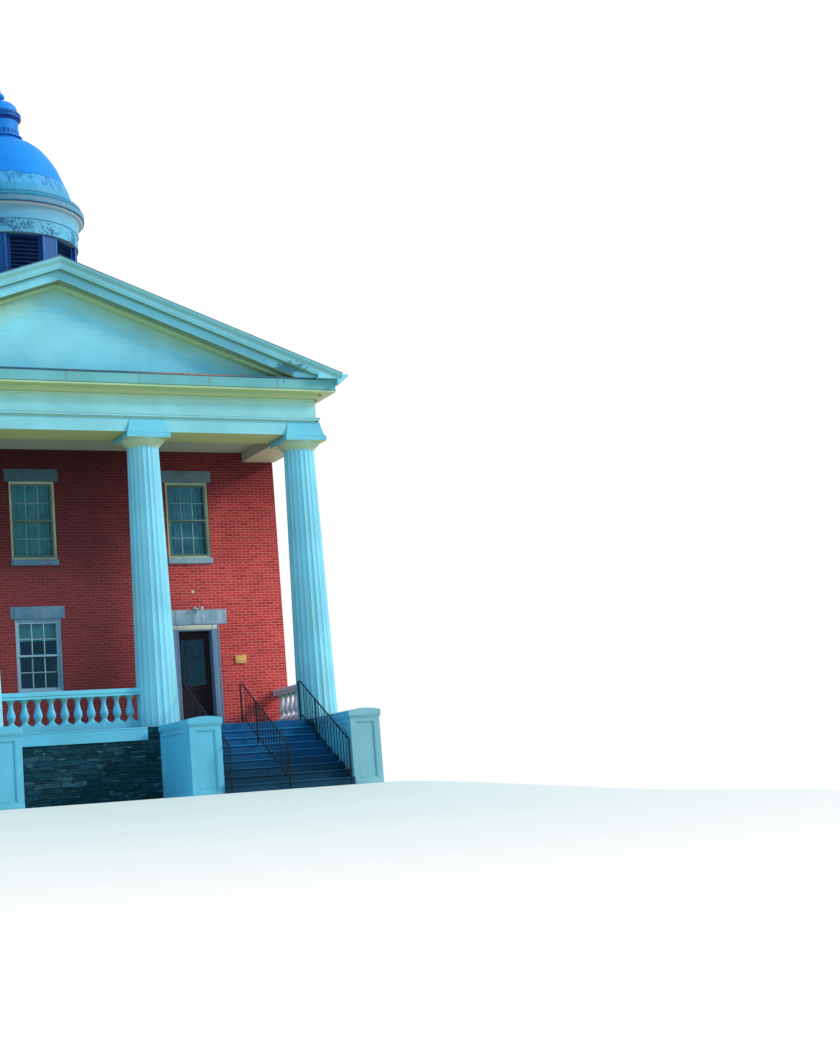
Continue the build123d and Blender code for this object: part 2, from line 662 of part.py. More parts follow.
def railing(x):
    """A wrought handrail on three posts, filled with square pickets."""
    y_top = COLUMN_LINE + STAIR_TOP + 120
    y_edge = COLUMN_LINE + STAIR_TOP
    y_mid = y_edge - 2.6 * TREAD_RUN
    y_foot = COLUMN_LINE + RAIL_FOOT
    tread_z = PORCH_H - 3 * RISE
    h = POST / 2
    lower = RAIL_H - 110
    body = block(-h, h, y_top - h, y_top + h, PORCH_H, rail_z(y_top))
    body += block(-h, h, y_mid - h, y_mid + h, tread_z, rail_z(y_mid))
    body += block(-h, h, y_foot - h, y_foot + h, 0, rail_z(y_foot) + 20)
    body += sloped_bar(y_foot, y_edge, 0, BAR) + sloped_bar(y_edge, y_top, 0, BAR)
    body += sloped_bar(y_foot, y_edge, lower, BAR) + sloped_bar(y_edge, y_top, lower, BAR)
    count = 16
    for i in range(1, count):
        y = y_foot + (y_edge - y_foot) * i / count
        p = PICKET / 2
        body += block(-p, p, y - p, y + p, rail_z(y) - lower - 5, rail_z(y) - 5)
    return Pos(x, 0, 0) * body


CAP_RAIL = (PORCH_H + 750, PORCH_H + 900)
CAP_RAIL_W = 150
FOOT_RAIL_TOP = PORCH_H + 170
BALUSTER_GAP = 292
BALUSTER_SIDES, BALUSTER_BLOCK = 6, 90


def baluster(x, y):
    """A vase-shaped baluster between two square blocks."""
    z0, z1 = FOOT_RAIL_TOP, CAP_RAIL[0]
    stations = [(34, 0.12), (64, 0.36), (28, 0.72), (42, 0.88)]
    vase = turned([(r, z0 + (z1 - z0) * t) for r, t in stations], BALUSTER_SIDES)
    h = BALUSTER_BLOCK / 2
    foot = block(-h, h, -h, h, z0, z0 + (z1 - z0) * stations[0][1])
    return Pos(x, y, 0) * vase.fuse(foot, block(-h, h, -h, h, z0 + (z1 - z0) * stations[-1][1], z1))


def balustrade(x0, x1, y, count):
    """Cap rail, foot rail and balusters in one length along X."""
    w = CAP_RAIL_W / 2
    body = block(x0, x1, y - w, y + w, *CAP_RAIL) + block(x0, x1, y - w + 20, y + w - 20, PORCH_H, FOOT_RAIL_TOP)
    mid = (x0 + x1) / 2
    for i in range(count):
        body += baluster(mid + (i - (count - 1) / 2) * BALUSTER_GAP, y)
    return body


def balustrade_front():
    half = COLUMN_X[0] - 300
    body = balustrade(-half, half, COLUMN_LINE, 10)
    for x in (COLUMN_X[0], -COLUMN_X[0]):
        body -= column_shaft(x)
    return body.solids().sort_by(SortBy.VOLUME)[-1]


def balustrade_side():
    """From the corner column back to the wall."""
    y0, y1 = COLUMN_LINE + 300, FRONT_WALL_Y
    length = y1 - y0
    run = balustrade(-length / 2, length / 2, 0, 6)
    body = Pos(COLUMN_X[1], (y0 + y1) / 2, 0) * Rot(0, 0, 90) * run
    body -= column_shaft(COLUMN_X[1])
    return body.solids().sort_by(SortBy.VOLUME)[-1]


def main():
    save("foundation_walls", foundation_walls())
    save("porch_foundation", porch_foundation())
    save("porch_fascia_board", porch_fascia_board())
    save("porch_floor", porch_floor())
    save("ground_floor", ground_floor())
    save("upper_floor", upper_floor())
    for node, shapes in front_wall_parts().items():
        save(node, *shapes)
    save("back_wall", BACK_SIDE.place * pierced_wall(BACK_SIDE, SOFFIT_Z))
    save("side_walls", *[side.place * pierced_wall(side, SOFFIT_Z) for side in (LEFT, RIGHT)])
    rows = {"front": [FRONT], "side": [LEFT, RIGHT], "back": [BACK_SIDE]}
    for name, sides in rows.items():
        save(f"{name}_windows", *[s.place * sashed_window(u, z) for s in sides for u, z in s.windows])
    holes = [(s.place, u, z) for sides in rows.values() for s in sides for u, z in s.windows]
    panes = [place * pane for place, u, z in holes for pane in window_panes(u, z)]
    save("window_glass", *panes, mirrored(door_light()))
    lintels = [place * window_lintel(u, z) for place, u, z in holes]
    save("stone_lintels", *lintels, *[FRONT.place * door_lintel(x) for x in (-DOOR_X, DOOR_X)])
    save("stone_sills", *[place * window_sill(u, z) for place, u, z in holes])
    save("door_frames", door_frame(round_barrel), mirrored(door_frame(flat_barrel)))
    save("door_right", door_leaf(round_barrel))
    save("door_right_glass", door_light())
    save("door_left", mirrored(door_leaf(flat_barrel)))
    places = (-COLUMN_X[1], -COLUMN_X[0], COLUMN_X[0], COLUMN_X[1])
    for i, x in enumerate(places, 1):
        save(f"column_{i}", column_shaft(x))
    front, side = end_beam(ENT_FRONT, -1), side_beam()
    inner, corner = [capital(x).cut(front, *side) for x in COLUMN_X]
    save("capitals", inner, mirrored(inner), corner, mirrored(corner))
    save("entablature_front", front)
    save("entablature_back", end_beam(ENT_BACK, 1))
    save("entablature_sides", *side, *[mirrored(piece) for piece in side])
    save("eaves", eaves_right(), mirrored(eaves_right()))
    save("portico_ceiling", portico_ceiling())
    save("gables", tympanum(ENT_FRONT, ENT_FRONT + 100), tympanum(ENT_BACK - 100, ENT_BACK))
    save("raking_cornice", raking_cornice(ENT_FRONT, -1), raking_cornice(ENT_BACK, 1))
    save("roof_right", roof_right())
    save("roof_left", mirrored(roof_right()))
    save("cupola_base", cupola_base())
    save("drum_piers", *drum_piers())
    save("louvres", *[louvre(i) for i in range(BAYS)])
    save("drum_entablature", drum_entablature())
    save("dome", dome())
    save("lantern", lantern())
    save("lantern_dome", lantern_dome())
    save("pedestals", *[pedestal(s * x) for x in PEDESTAL_X for s in (-1, 1)])
    save("stairs", stair_carriage(), mirrored(stair_carriage()))
    save("stair_treads", *stair_treads(), *[mirrored(b) for b in stair_treads()])
    save("stair_railings", *[railing(s * x) for x in rail_x() for s in (-1, 1)])
    save("balustrades", balustrade_front(), balustrade_side(), mirrored(balustrade_side()))


main()
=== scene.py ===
"""Small-town courthouse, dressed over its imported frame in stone, brick, old paint, glass, iron and tin."""
from functools import partial
from math import atan2, copysign, cos, hypot, pi, radians, sin, sqrt, tau

import bpy
from mathutils import Matrix, Vector


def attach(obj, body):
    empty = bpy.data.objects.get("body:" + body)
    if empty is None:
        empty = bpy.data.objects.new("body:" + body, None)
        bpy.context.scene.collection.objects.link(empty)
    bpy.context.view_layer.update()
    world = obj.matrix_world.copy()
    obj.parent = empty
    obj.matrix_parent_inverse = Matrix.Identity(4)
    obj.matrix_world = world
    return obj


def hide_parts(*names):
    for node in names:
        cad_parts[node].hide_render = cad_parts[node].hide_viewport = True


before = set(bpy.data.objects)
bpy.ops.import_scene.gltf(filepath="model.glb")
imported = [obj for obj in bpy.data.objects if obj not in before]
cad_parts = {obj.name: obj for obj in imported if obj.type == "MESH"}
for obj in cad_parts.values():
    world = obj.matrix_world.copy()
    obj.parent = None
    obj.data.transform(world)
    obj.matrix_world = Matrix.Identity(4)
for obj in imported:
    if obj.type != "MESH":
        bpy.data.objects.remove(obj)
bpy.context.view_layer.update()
bpy.ops.object.select_all(action="DESELECT")
bpy.context.scene.tool_settings.mesh_select_mode = (True, False, False)


def mode(name):
    bpy.ops.object.mode_set(mode=name)


# Camera
# It looks up at the front from the left, standing lower than the foot of the stairs.
# The lens and the three turns were solved from the building's own straight lines.
YAW, PITCH, ROLL = 0.47627344, 0.15559235, -0.08238674
forward = Vector((sin(YAW) * cos(PITCH), cos(YAW) * cos(PITCH), sin(PITCH)))
level = Vector((cos(YAW), -sin(YAW), 0))
above = level.cross(forward)
across = level * cos(ROLL) + above * sin(ROLL)
upward = above * cos(ROLL) - level * sin(ROLL)
bpy.ops.object.camera_add()
camera = bpy.context.object
camera.matrix_world = (Matrix.Translation((-11.1033, -44.2661, -0.6855))
                       @ Matrix((across, upward, -forward)).transposed().to_4x4())
camera.data.sensor_fit = "VERTICAL"
camera.data.sensor_height = 36
camera.data.lens = 62.416
camera.data.clip_end = 400
bpy.context.scene.camera = camera


# Floor
# A pale mound, level under the building and falling away all round, as the camera stands below the stairs.
# It takes the shadow near the building and turns to plain white further out.
def tree_of(*values):
    """The node tree of the first socket among the values."""
    return next(value.id_data for value in values if isinstance(value, bpy.types.NodeSocket))


def node(kind, inputs=None, tree=None, **settings):
    """One shader node, its inputs set or joined; it needs a tree only where no input is joined."""
    inputs = inputs or {}
    tree = tree or tree_of(*inputs.values())
    made = tree.nodes.new("ShaderNode" + kind)
    for key, value in settings.items():
        setattr(made, key, value)
    for key, value in inputs.items():
        if isinstance(value, bpy.types.NodeSocket):
            tree.links.new(value, made.inputs[key])
        else:
            made.inputs[key].default_value = value
    return made


def sums(how, a, b=0.0, c=0.0, clamp=False):
    """The result of one sum of numbers."""
    return node("Math", {0: a, 1: b, 2: c}, operation=how, use_clamp=clamp).outputs[0]


plus, minus, times, times_plus, larger, over, below, size_of = (partial(sums, how) for how in (
    "ADD", "SUBTRACT", "MULTIPLY", "MULTIPLY_ADD", "MAXIMUM", "GREATER_THAN", "LESS_THAN", "ABSOLUTE"))


def spread(value, low, high, to_low=0.0, to_high=1.0):
    """Stretches the values between low and high to a new range, and keeps them inside it."""
    return node("MapRange", {"Value": value, "From Min": low, "From Max": high, "To Min": to_low,
                             "To Max": to_high}).outputs[0]


def axes_of(place):
    """The X, Y and Z of a place or direction."""
    return node("SeparateXYZ", {0: place}).outputs


def tint(red, green, blue):
    """A colour from its 0 to 255 values."""
    return tuple((v / 255 / 12.92 if v <= 10 else ((v / 255 + 0.055) / 1.055) ** 2.4)
                 for v in (red, green, blue)) + (1,)


def tinted(colour):
    """A colour ready for a socket; three numbers are its 0 to 255 values."""
    return tint(*colour) if isinstance(colour, tuple) and len(colour) == 3 else colour


def blend(mask, a, b):
    """Colour a where the mask is 0 and colour b where it is 1."""
    return node("Mix", {0: mask, 6: tinted(a), 7: tinted(b)}, data_type="RGBA").outputs[2]


def link(value, socket):
    socket.id_data.links.new(value, socket)


def coloured(shader, colour):
    """Joins a colour to a shader."""
    link(colour, shader.inputs["Base Color"])


def plain_to(tree):
    """1 for the rays that see the backdrop directly, in gloss or through glass."""
    ray = node("LightPath", tree=tree).outputs
    direct = plus(ray["Is Camera Ray"], ray["Is Glossy Ray"])
    return plus(direct, ray["Is Transmission Ray"], clamp=True)


def ground():
    half_x, half_y = 7.0, 8.62
    bpy.ops.mesh.primitive_plane_add(size=2)
    mound = bpy.context.object
    mound.name = "floor"
    mode("EDIT")
    bpy.ops.transform.resize(value=(half_x, half_y, 1))
    bpy.ops.mesh.bevel(offset=1.2, segments=6, affect="VERTICES")
    size, height = 1, 0
    rings = ((1.12, -0.12), (1.5, -0.6), (2.2, -1.2), (3.5, -2.1), (5, -2.6), (8, -3), (30, -3))
    for new_size, new_height in rings:
        bpy.ops.mesh.select_all(action="DESELECT")
        bpy.ops.mesh.select_mode(type="EDGE")
        bpy.ops.mesh.select_non_manifold()
        bpy.ops.mesh.extrude_edges_move(TRANSFORM_OT_translate={"value": (0, 0, new_height - height)})
        grow = new_size / size
        bpy.ops.transform.resize(value=(grow, grow, 1), center_override=(0, 0, new_height))
        size, height = new_size, new_height
    bpy.ops.mesh.select_mode(type="VERT")
    mode("OBJECT")
    finish = bpy.data.materials.new("pale_floor")
    finish.use_nodes = True
    tree = finish.node_tree
    paper = tree.nodes["Principled BSDF"]
    place = node("TexCoord", tree=tree).outputs["Object"]
    grain = node("TexNoise", {"Vector": place, "Scale": 0.6, "Detail": 4}).outputs["Fac"]
    shade = blend(times(grain, 0.3), (232, 234, 232), (214, 218, 216))
    coloured(paper, shade)
    paper.inputs["Roughness"].default_value = 0.95
    paper.inputs["Specular IOR Level"].default_value = 0.1
    reach = node("VectorMath", {0: place}, operation="LENGTH").outputs["Value"]
    away = times(spread(reach, 11.0, 24.0), plain_to(tree))
    white = node("Emission", {"Color": (1, 1, 1, 1), "Strength": 1.0}, tree)
    both = node("MixShader", {0: away, 1: paper.outputs[0], 2: white.outputs[0]})
    link(both.outputs[0], tree.nodes["Material Output"].inputs["Surface"])
    mound.data.materials.append(finish)


ground()


# Light
# A soft low sun from the right of the front and a bright clear sky, as early in the day.
# The sky shows plain white to the camera and in glass and metal.
def daylight():
    bpy.ops.object.light_add(type="SUN")
    sun = bpy.context.object
    sun.data.energy = 2.6
    sun.data.angle = radians(14)
    sun.data.color = (1, 0.93, 0.82)
    side, height = radians(63), radians(27)
    toward = Vector((sin(side) * cos(height), -cos(side) * cos(height), sin(height)))
    sun.rotation_euler = toward.to_track_quat("Z", "Y").to_euler()
    sky = bpy.data.worlds.new("sky")
    sky.use_nodes = True
    bpy.context.scene.world = sky
    tree = sky.node_tree
    soft = node("Background", {"Color": (0.57, 0.86, 1, 1), "Strength": 0.8}, tree)
    plain = node("Background", {"Color": (1, 1, 1, 1), "Strength": 1}, tree)
    both = node("MixShader", {0: plain_to(tree), 1: soft.outputs[0], 2: plain.outputs[0]})
    link(both.outputs[0], tree.nodes["World Output"].inputs["Surface"])


daylight()
bpy.context.scene.view_settings.view_transform = "Standard"


# Stone foundation
# Rubble walls of rough quarried stone in lime mortar, laid in uneven courses under the house and the porch.
# Dark with damp, with paler faces here and there.
def finish_of(name, roughness=0.6, gloss=0.12):
    """A new material, its shader and the place of each point on the piece."""
    made = bpy.data.materials.new(name)
    made.use_nodes = True
    shader = made.node_tree.nodes["Principled BSDF"]
    shader.inputs["Roughness"].default_value = roughness
    shader.inputs["Specular IOR Level"].default_value = gloss
    return made, shader, node("TexCoord", tree=made.node_tree).outputs["Object"]


def noise(place, scale, detail=4, rough=0.55, stretch=None):
    """Cloudy noise from 0 to 1, stretched where the sizes along X, Y and Z differ."""
    if stretch:
        place = node("Mapping", {"Vector": place, "Scale": stretch}).outputs[0]
    return node("TexNoise", {"Vector": place, "Scale": scale, "Detail": detail,
                             "Roughness": rough}).outputs["Fac"]


def ramp(value, *stops):
    """A colour for each value, from stops of (value, colour)."""
    made = node("ValToRGB", {"Fac": value})
    marks = made.color_ramp.elements
    while len(marks) < len(stops):
        marks.new(0.5)
    for element, (where, colour) in zip(marks, stops):
        element.position, element.color = where, tinted(colour)
    return made.outputs["Color"]


def relief(shader, height, depth, strength=1.0):
    """Bump of that many metres."""
    bump = node("Bump", {"Height": height, "Distance": depth, "Strength": strength})
    link(bump.outputs[0], shader.inputs["Normal"])


def coat(finish, *names):
    """Gives CAD nodes their finish."""
    for name in names:
        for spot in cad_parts[name].material_slots:
            spot.material = finish


def close_to(value, centre, reach, most=1.0):
    """Falls from most at the centre to 0 that far away."""
    return spread(size_of(minus(value, centre)), 0.0, reach, most, 0.0)


def facing(place):
    """The X, Y and Z of the way each point's face looks."""
    return axes_of(node("TexCoord", tree=tree_of(place)).outputs["Normal"])


def wall_plane(place):
    """Places along and up whichever wall a point is on."""
    axes = axes_of(place)
    normal = facing(place)
    end_wall = over(size_of(normal["X"]), 0.5)
    along = node("Mix", {0: end_wall, 2: axes["X"], 3: axes["Y"]}).outputs[0]
    return node("CombineXYZ", {0: along, 1: axes["Z"]}).outputs[0]


def masonry(flat, long, high, gap, smooth, colours, bias=0.0, **settings):
    """Stones of that length and height with their joint; the colours are two for them and the mortar's."""
    one, other, mortar = colours
    return node("TexBrick", {
        "Vector": flat, "Color1": one, "Color2": other, "Mortar": mortar, "Scale": 1.0, "Mortar Size": gap,
        "Mortar Smooth": smooth, "Bias": bias, "Brick Width": long, "Row Height": high}, **settings).outputs


def rubble():
    """Thin flat slabs in wavering courses, now and then split into two thinner ones."""
    made, shader, place = finish_of("rubble_stone", 0.9, 0.05)
    jitter = node("TexNoise", {"Vector": place, "Scale": 2.4, "Detail": 4})
    wander = node("VectorMath", {0: jitter.outputs["Color"], 1: (0.5, 0.1, 0)}, operation="MULTIPLY")
    flat = node("VectorMath", {0: wall_plane(place), 1: wander.outputs[0]}, operation="ADD").outputs[0]
    greys = ((0, 0, 0, 1), (1, 1, 1, 1), (0.2, 0.2, 0.2, 1))
    uneven = {"offset": 0.37, "squash": 0.6, "squash_frequency": 3}
    thick, thinner = (masonry(flat, long, high, 0.006, 0.7, greys, **uneven)
                      for long, high in ((0.52, 0.116), (0.34, 0.058)))
    thin = spread(noise(flat, 1.7, 2, 0.5, (1, 2.5, 1)), 0.5, 0.53)
    each = blend(thin, thick["Color"], thinner["Color"])
    joint = node("Mix", {0: thin, 2: thick["Fac"], 3: thinner["Fac"]}).outputs[0]
    colour = ramp(each, (0, (20, 56, 70)), (0.35, (34, 80, 96)), (0.6, (26, 58, 60)), (0.85, (46, 88, 104)),
                  (1, (78, 122, 142)))
    rough = noise(place, 10, 7, 0.7, (1, 1, 3.4))
    colour = blend(spread(rough, 0.42, 0.68, 0.0, 0.72), colour, (13, 36, 46))
    coloured(shader, blend(times(joint, 0.8), colour, (8, 24, 32)))
    relief(shader, minus(rough, joint), 0.035)
    return made


coat(rubble(), "foundation_walls", "porch_foundation")


# Stairs
# Two closed timber flights with separate tread boards, painted slate blue, darker and duller further down;
# the risers' paint is a darker copy, as painted shade.
# Each tread is two planks with a rounded nosing, nailed down on the carriages.
def weathering():
    """Shader group: old paint with tone, grime streaks and flaked spots, and painted bounce light and shade
    on undersides.
    """
    tree = bpy.data.node_groups.new("weathering", "ShaderNodeTree")
    face = tree.interface
    for name, kind, value in (("Paint", "Color", (0.5, 0.5, 0.5, 1)), ("Under", "Color", (0.3, 0.3, 0.2, 1)),
                              ("Bare", "Color", (0.2, 0.2, 0.2, 1)), ("Flaking", "Float", 0.2),
                              ("Streaks", "Float", 0.3), ("Scale", "Float", 1.0)):
        face.new_socket(name, in_out="INPUT", socket_type="NodeSocket" + kind).default_value = value
    for name, kind in (("Color", "Color"), ("Roughness", "Float"), ("Height", "Float")):
        face.new_socket(name, in_out="OUTPUT", socket_type="NodeSocket" + kind)
    given = tree.nodes.new("NodeGroupInput").outputs
    coords = node("TexCoord", tree=tree)
    place = node("VectorMath", {0: coords.outputs["Object"], "Scale": given["Scale"]},
                 operation="SCALE").outputs[0]
    tone = spread(noise(place, 0.9, 5), 0.3, 0.7, 0.84, 1.06)
    toned = node("VectorMath", {0: given["Paint"], "Scale": tone}, operation="SCALE").outputs[0]
    run = spread(noise(place, 1.0, 6, 0.6, (7, 7, 0.55)), 0.52, 0.8)
    dirt = blend(0.6, given["Paint"], given["Under"])
    colour = blend(times(run, given["Streaks"]), toned, dirt)
    spots = times(noise(place, 11, 8, 0.66), 0.72)
    both = times_plus(noise(place, 1.6, 3), 0.55, spots)
    limit = minus(1.0, times(given["Flaking"], 0.42))
    flaked = times(minus(both, limit), 26.0, clamp=True)
    colour = blend(times(flaked, 0.8), colour, given["Bare"])
    # Undersides take the Under colour: painted bounce light and shade, as light falls on them from below.
    down = axes_of(coords.outputs["Normal"])["Z"]
    colour = blend(times(down, -1.15, clamp=True), colour, given["Under"])
    fine = times(noise(place, 60, 3), 0.3)
    out = tree.nodes.new("NodeGroupOutput")
    link(colour, out.inputs["Color"])
    link(times_plus(flaked, 0.25, 0.5), out.inputs["Roughness"])
    link(minus(fine, flaked), out.inputs["Height"])
    return tree


weather = weathering()


def painted(name, paint, under, bare, flaking=0.2, streaks=0.3, scale=1.0, depth=0.002):
    """A weathered paint; under is the painted bounce light and shade of its undersides, and also tints its
    grime streaks.
    """
    made, shader, _ = finish_of(name)
    old = node("Group", tree=made.node_tree, node_tree=weather)
    for key, value in (("Paint", paint), ("Under", under), ("Bare", bare), ("Flaking", flaking),
                       ("Streaks", streaks), ("Scale", scale)):
        old.inputs[key].default_value = tinted(value)
    coloured(shader, old.outputs["Color"])
    link(old.outputs["Roughness"], shader.inputs["Roughness"])
    relief(shader, old.outputs["Height"], depth)
    return made


def parts_of(made):
    """A paint's shader, the place of each point on the piece, and the group that ages it."""
    nodes = made.node_tree.nodes
    return nodes["Principled BSDF"], nodes["Texture Coordinate"].outputs["Object"], nodes["Group"]


def axes_in(made):
    """The X, Y and Z of each point on a painted piece."""
    return axes_of(parts_of(made)[1])


def repainted(made, mask, colour):
    """Gives a paint another tint where the mask is 1; its ageing still goes over it."""
    paint = parts_of(made)[2].inputs["Paint"]
    before = paint.links[0].from_socket if paint.is_linked else tuple(paint.default_value)
    link(blend(mask, before, colour), paint)


def board(low, high, edge=0.0, steps=1):
    """A board between two corners, its edges eased."""
    bpy.ops.mesh.primitive_cube_add(size=1, location=[(a + b) / 2 for a, b in zip(low, high)])
    made = bpy.context.object
    made.scale = [b - a for a, b in zip(low, high)]
    bpy.ops.object.transform_apply()
    if edge:
        mode("EDIT")
        bpy.ops.mesh.bevel(offset=edge, segments=steps, affect="EDGES")
        mode("OBJECT")
    return made


def moved(made, x=0, y=0, z=0, turn=0, lean=0):
    """Moves a piece's mesh once it has leant about the X axis and turned about the upright."""
    turns = Matrix.Rotation(turn, 4, "Z") @ Matrix.Rotation(lean, 4, "X")
    made.data.transform(Matrix.Translation((x, y, z)) @ turns)
    return made


def drop(*shapes):
    """Does away with patterns that have been copied."""
    for shape in shapes:
        bpy.data.objects.remove(shape)


def named(made, name):
    made.name = made.data.name = name
    return made


def copy_of(shape, x=0.0, y=0.0, z=0.0, turn=0.0, flip=False):
    """A copy with its own mesh, flipped left to right or turned about the upright, then moved."""
    twin = shape.copy()
    twin.data = shape.data.copy()
    bpy.context.collection.objects.link(twin)
    if flip:
        twin.data.transform(Matrix.Scale(-1, 4, (1, 0, 0)))
        twin.data.flip_normals()
    return moved(twin, x, y, z, turn)


def pair(shape):
    """A piece of the right half and its mirror image."""
    return [shape, copy_of(shape, flip=True)]


def joined(name, parts, smooth=None):
    """One piece made of several, with its curved faces shaded smooth."""
    bpy.ops.object.select_all(action="DESELECT")
    for part in parts:
        part.select_set(True)
    bpy.context.view_layer.objects.active = parts[0]
    if len(parts) > 1:
        bpy.ops.object.join()
    made = bpy.context.object
    named(made, name)
    if smooth:
        bpy.ops.object.shade_smooth_by_angle(angle=radians(smooth))
    return made


def place_piece(made, finish, slot, *nodes, body="building"):
    """Paints a piece, hangs it on its body and lets it stand for its CAD nodes."""
    made.data.materials.clear()
    made.data.materials.append(finish)
    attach(made, body)
    if nodes:
        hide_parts(*nodes)


PORCH_Z, PORCH_FRONT_Y, STAIR_TOP_Y, RISERS, TREAD_RUN = 1.6, -6.2, -5.8645, 9, 0.29
RISE = PORCH_Z / RISERS
STAIR_X = (2.46, 5.44)


def deck_paint(name, paint):
    """Deck paint that gets darker and duller down the flight."""
    made = painted(name, paint, (14, 40, 58), (60, 108, 136), 0.34, 0.5, 1.4)
    height = axes_in(made)["Z"]
    repainted(made, spread(height, 0.35, 1.1, 0.85, 0.0), (10, 54, 72))
    return made


stair_paint = deck_paint("stair_paint", (26, 116, 174))
# The risers take a darker copy of the treads' paint: painted shade on the upright faces.
riser_paint = deck_paint("riser_paint", (20, 92, 142))
coat(riser_paint, "stairs")


def treads():
    boards = []
    for k in range(1, RISERS):
        back, top = STAIR_TOP_Y - TREAD_RUN * (k - 1), PORCH_Z - RISE * k
        front, seam = back - TREAD_RUN - 0.025, back - TREAD_RUN / 2
        nosing = board((STAIR_X[0], front, top - 0.04), (STAIR_X[1], seam - 0.003, top), 0.012, 3)
        plank = board((STAIR_X[0], seam + 0.003, top - 0.04), (STAIR_X[1], back, top), 0.003)
        boards += [nosing, plank, copy_of(nosing, flip=True), copy_of(plank, flip=True)]
    place_piece(joined("tread_boards", boards, 35), stair_paint, "stair_paint", "stair_treads")
    riser = board((STAIR_X[0], STAIR_TOP_Y - 0.012, PORCH_Z - RISE + 0.001),
                  (STAIR_X[1], STAIR_TOP_Y + 0.02, PORCH_Z - 0.002), 0.003)
    place_piece(joined("top_risers", pair(riser), 35), riser_paint, "stair_paint")


treads()


# Railings
# Square wrought-iron bars riveted up: a flat handrail on three footed posts, a lower bar and pickets.
# The outer ones curl into a scroll at the foot and are braced to the cheek block by two bowed straps.
iron = painted("black_iron", (20, 34, 44), (12, 18, 22), (74, 48, 36), 0.3, 0.2, 4.0)
RAIL_X = (2.56, 3.88, 5.3)
RAIL_TOP_Y, RAIL_FOOT_Y, RAIL_H = STAIR_TOP_Y + 0.12, -8.2945, 0.88


def rail_z(y):
    return PORCH_Z + RAIL_H + min(0, y - STAIR_TOP_Y) * RISE / TREAD_RUN


def leant(made, *rows):
    """A piece's mesh put through the rows of a matrix."""
    made.data.transform(Matrix((*rows, (0, 0, 0, 1))))
    return made


def bar_along(y0, y1, under, width, height):
    """A bar that follows the stair's slope from y0 to y1, its top that far under the rail line."""
    made = board((-width / 2, y0, -height), (width / 2, y1, 0), min(width, height) / 5, 2)
    slope = (rail_z(y1) - rail_z(y0)) / (y1 - y0)
    return leant(made, (1, 0, 0, 0), (0, 1, 0, 0), (0, slope, 1, rail_z(y0) - under - slope * y0))


def bent_strap(points, thick):
    """A round-edged strap bent through points in one upright plane."""
    bpy.ops.curve.primitive_nurbs_path_add()
    made = bpy.context.object
    made.data.splines.clear()
    line = made.data.splines.new("NURBS")
    line.points.add(len(points) - 1)
    for point, place in zip(line.points, points):
        point.co = (*place, 1)
    line.order_u, line.use_endpoint_u = 4, True
    made.data.resolution_u = 5
    made.data.bevel_depth, made.data.bevel_resolution = thick / 2, 1
    made.data.use_fill_caps = True
    bpy.ops.object.convert(target="MESH")
    return bpy.context.object


def railing():
    lower = RAIL_H - 0.11
    spans = ((RAIL_FOOT_Y, STAIR_TOP_Y), (STAIR_TOP_Y, RAIL_TOP_Y))
    parts = [bar_along(*span, under, *size) for under, size in ((0, (0.036, 0.016)), (lower, (0.024, 0.024)))
             for span in spans]
    middle = STAIR_TOP_Y - 2.6 * TREAD_RUN
    for y, foot in ((RAIL_TOP_Y, PORCH_Z), (middle, PORCH_Z - 3 * RISE), (RAIL_FOOT_Y, 0)):
        parts.append(board((-0.016, y - 0.016, foot), (0.016, y + 0.016, rail_z(y) + 0.004), 0.003))
        parts.append(board((-0.038, max(y, RAIL_FOOT_Y + 0.022) - 0.038, foot),
                           (0.038, y + 0.038, foot + 0.012), 0.004))
    count = 16
    picket = board((-0.007, -0.007, -lower), (0.007, 0.007, 0), 0.002)
    collar = board((-0.011, -0.011, -lower / 2 - 0.02), (0.011, 0.011, -lower / 2 + 0.02), 0.003)
    for i in range(1, count):
        y = RAIL_FOOT_Y + (STAIR_TOP_Y - RAIL_FOOT_Y) * i / count
        for shape in (picket, collar) if i % 3 == 0 else (picket,):
            parts.append(copy_of(shape, y=y, z=rail_z(y) - 0.008))
    drop(picket, collar)
    return joined("railing", parts, 40)


def railings():
    one, parts, outer = railing(), [], RAIL_X[2]
    for x in RAIL_X:
        parts += [copy_of(one, x=x), copy_of(one, x=-x)]
    y, z = RAIL_FOOT_Y, rail_z(RAIL_FOOT_Y)
    curl = ((0.02, -0.01), (0, 0.03), (0.04, 0.07), (0.1, 0.05), (0.09, 0), (0.05, 0.012), (0.06, 0.035))
    parts += pair(bent_strap([(outer, y + out, z + up) for out, up in curl], 0.013))
    for y in (STAIR_TOP_Y - 1.45, STAIR_TOP_Y - 2):
        z = rail_z(y)
        bow = ((outer, -0.02), (outer + 0.05, 0.02), (outer + 0.12, -0.03), (outer + 0.15, -0.14),
               (STAIR_X[1] + 0.012, -0.2))
        parts += pair(bent_strap([(x, y, z + up) for x, up in bow], 0.014))
    drop(one)
    place_piece(joined("iron_railings", parts), iron, "black_iron", "stair_railings")


railings()


# Cheek blocks
# Panelled timber boxes beside the stairs, with a plinth, beads round the sunk panels and an arched cap over a
# stepped moulding. The sides are boarded upright.
def joints(along, width, gap):
    """1 in the narrow joints between boards of that width, 0 on the boards."""
    return below(sums("FRACT", sums("DIVIDE", along, width)), gap / width)


def boarded(made, axis, width, gap, dark, depth=0.006, only=None):
    """Cuts the joints between boards into a paint; with only, just on faces that look along that axis."""
    shader, place, old = parts_of(made)
    joint = joints(axes_of(place)[axis], width, gap)
    if only:
        normal = facing(place)[only]
        joint = times(joint, over(size_of(normal), 0.5))
    coloured(shader, blend(joint, old.outputs["Color"], dark))
    relief(shader, minus(old.outputs["Height"], joint), depth)
    return made


# Olive painted bounce light for undersides, which also tints grime streaks.
UNDERSIDE_BOUNCE_AND_GRIME = (194, 196, 128)


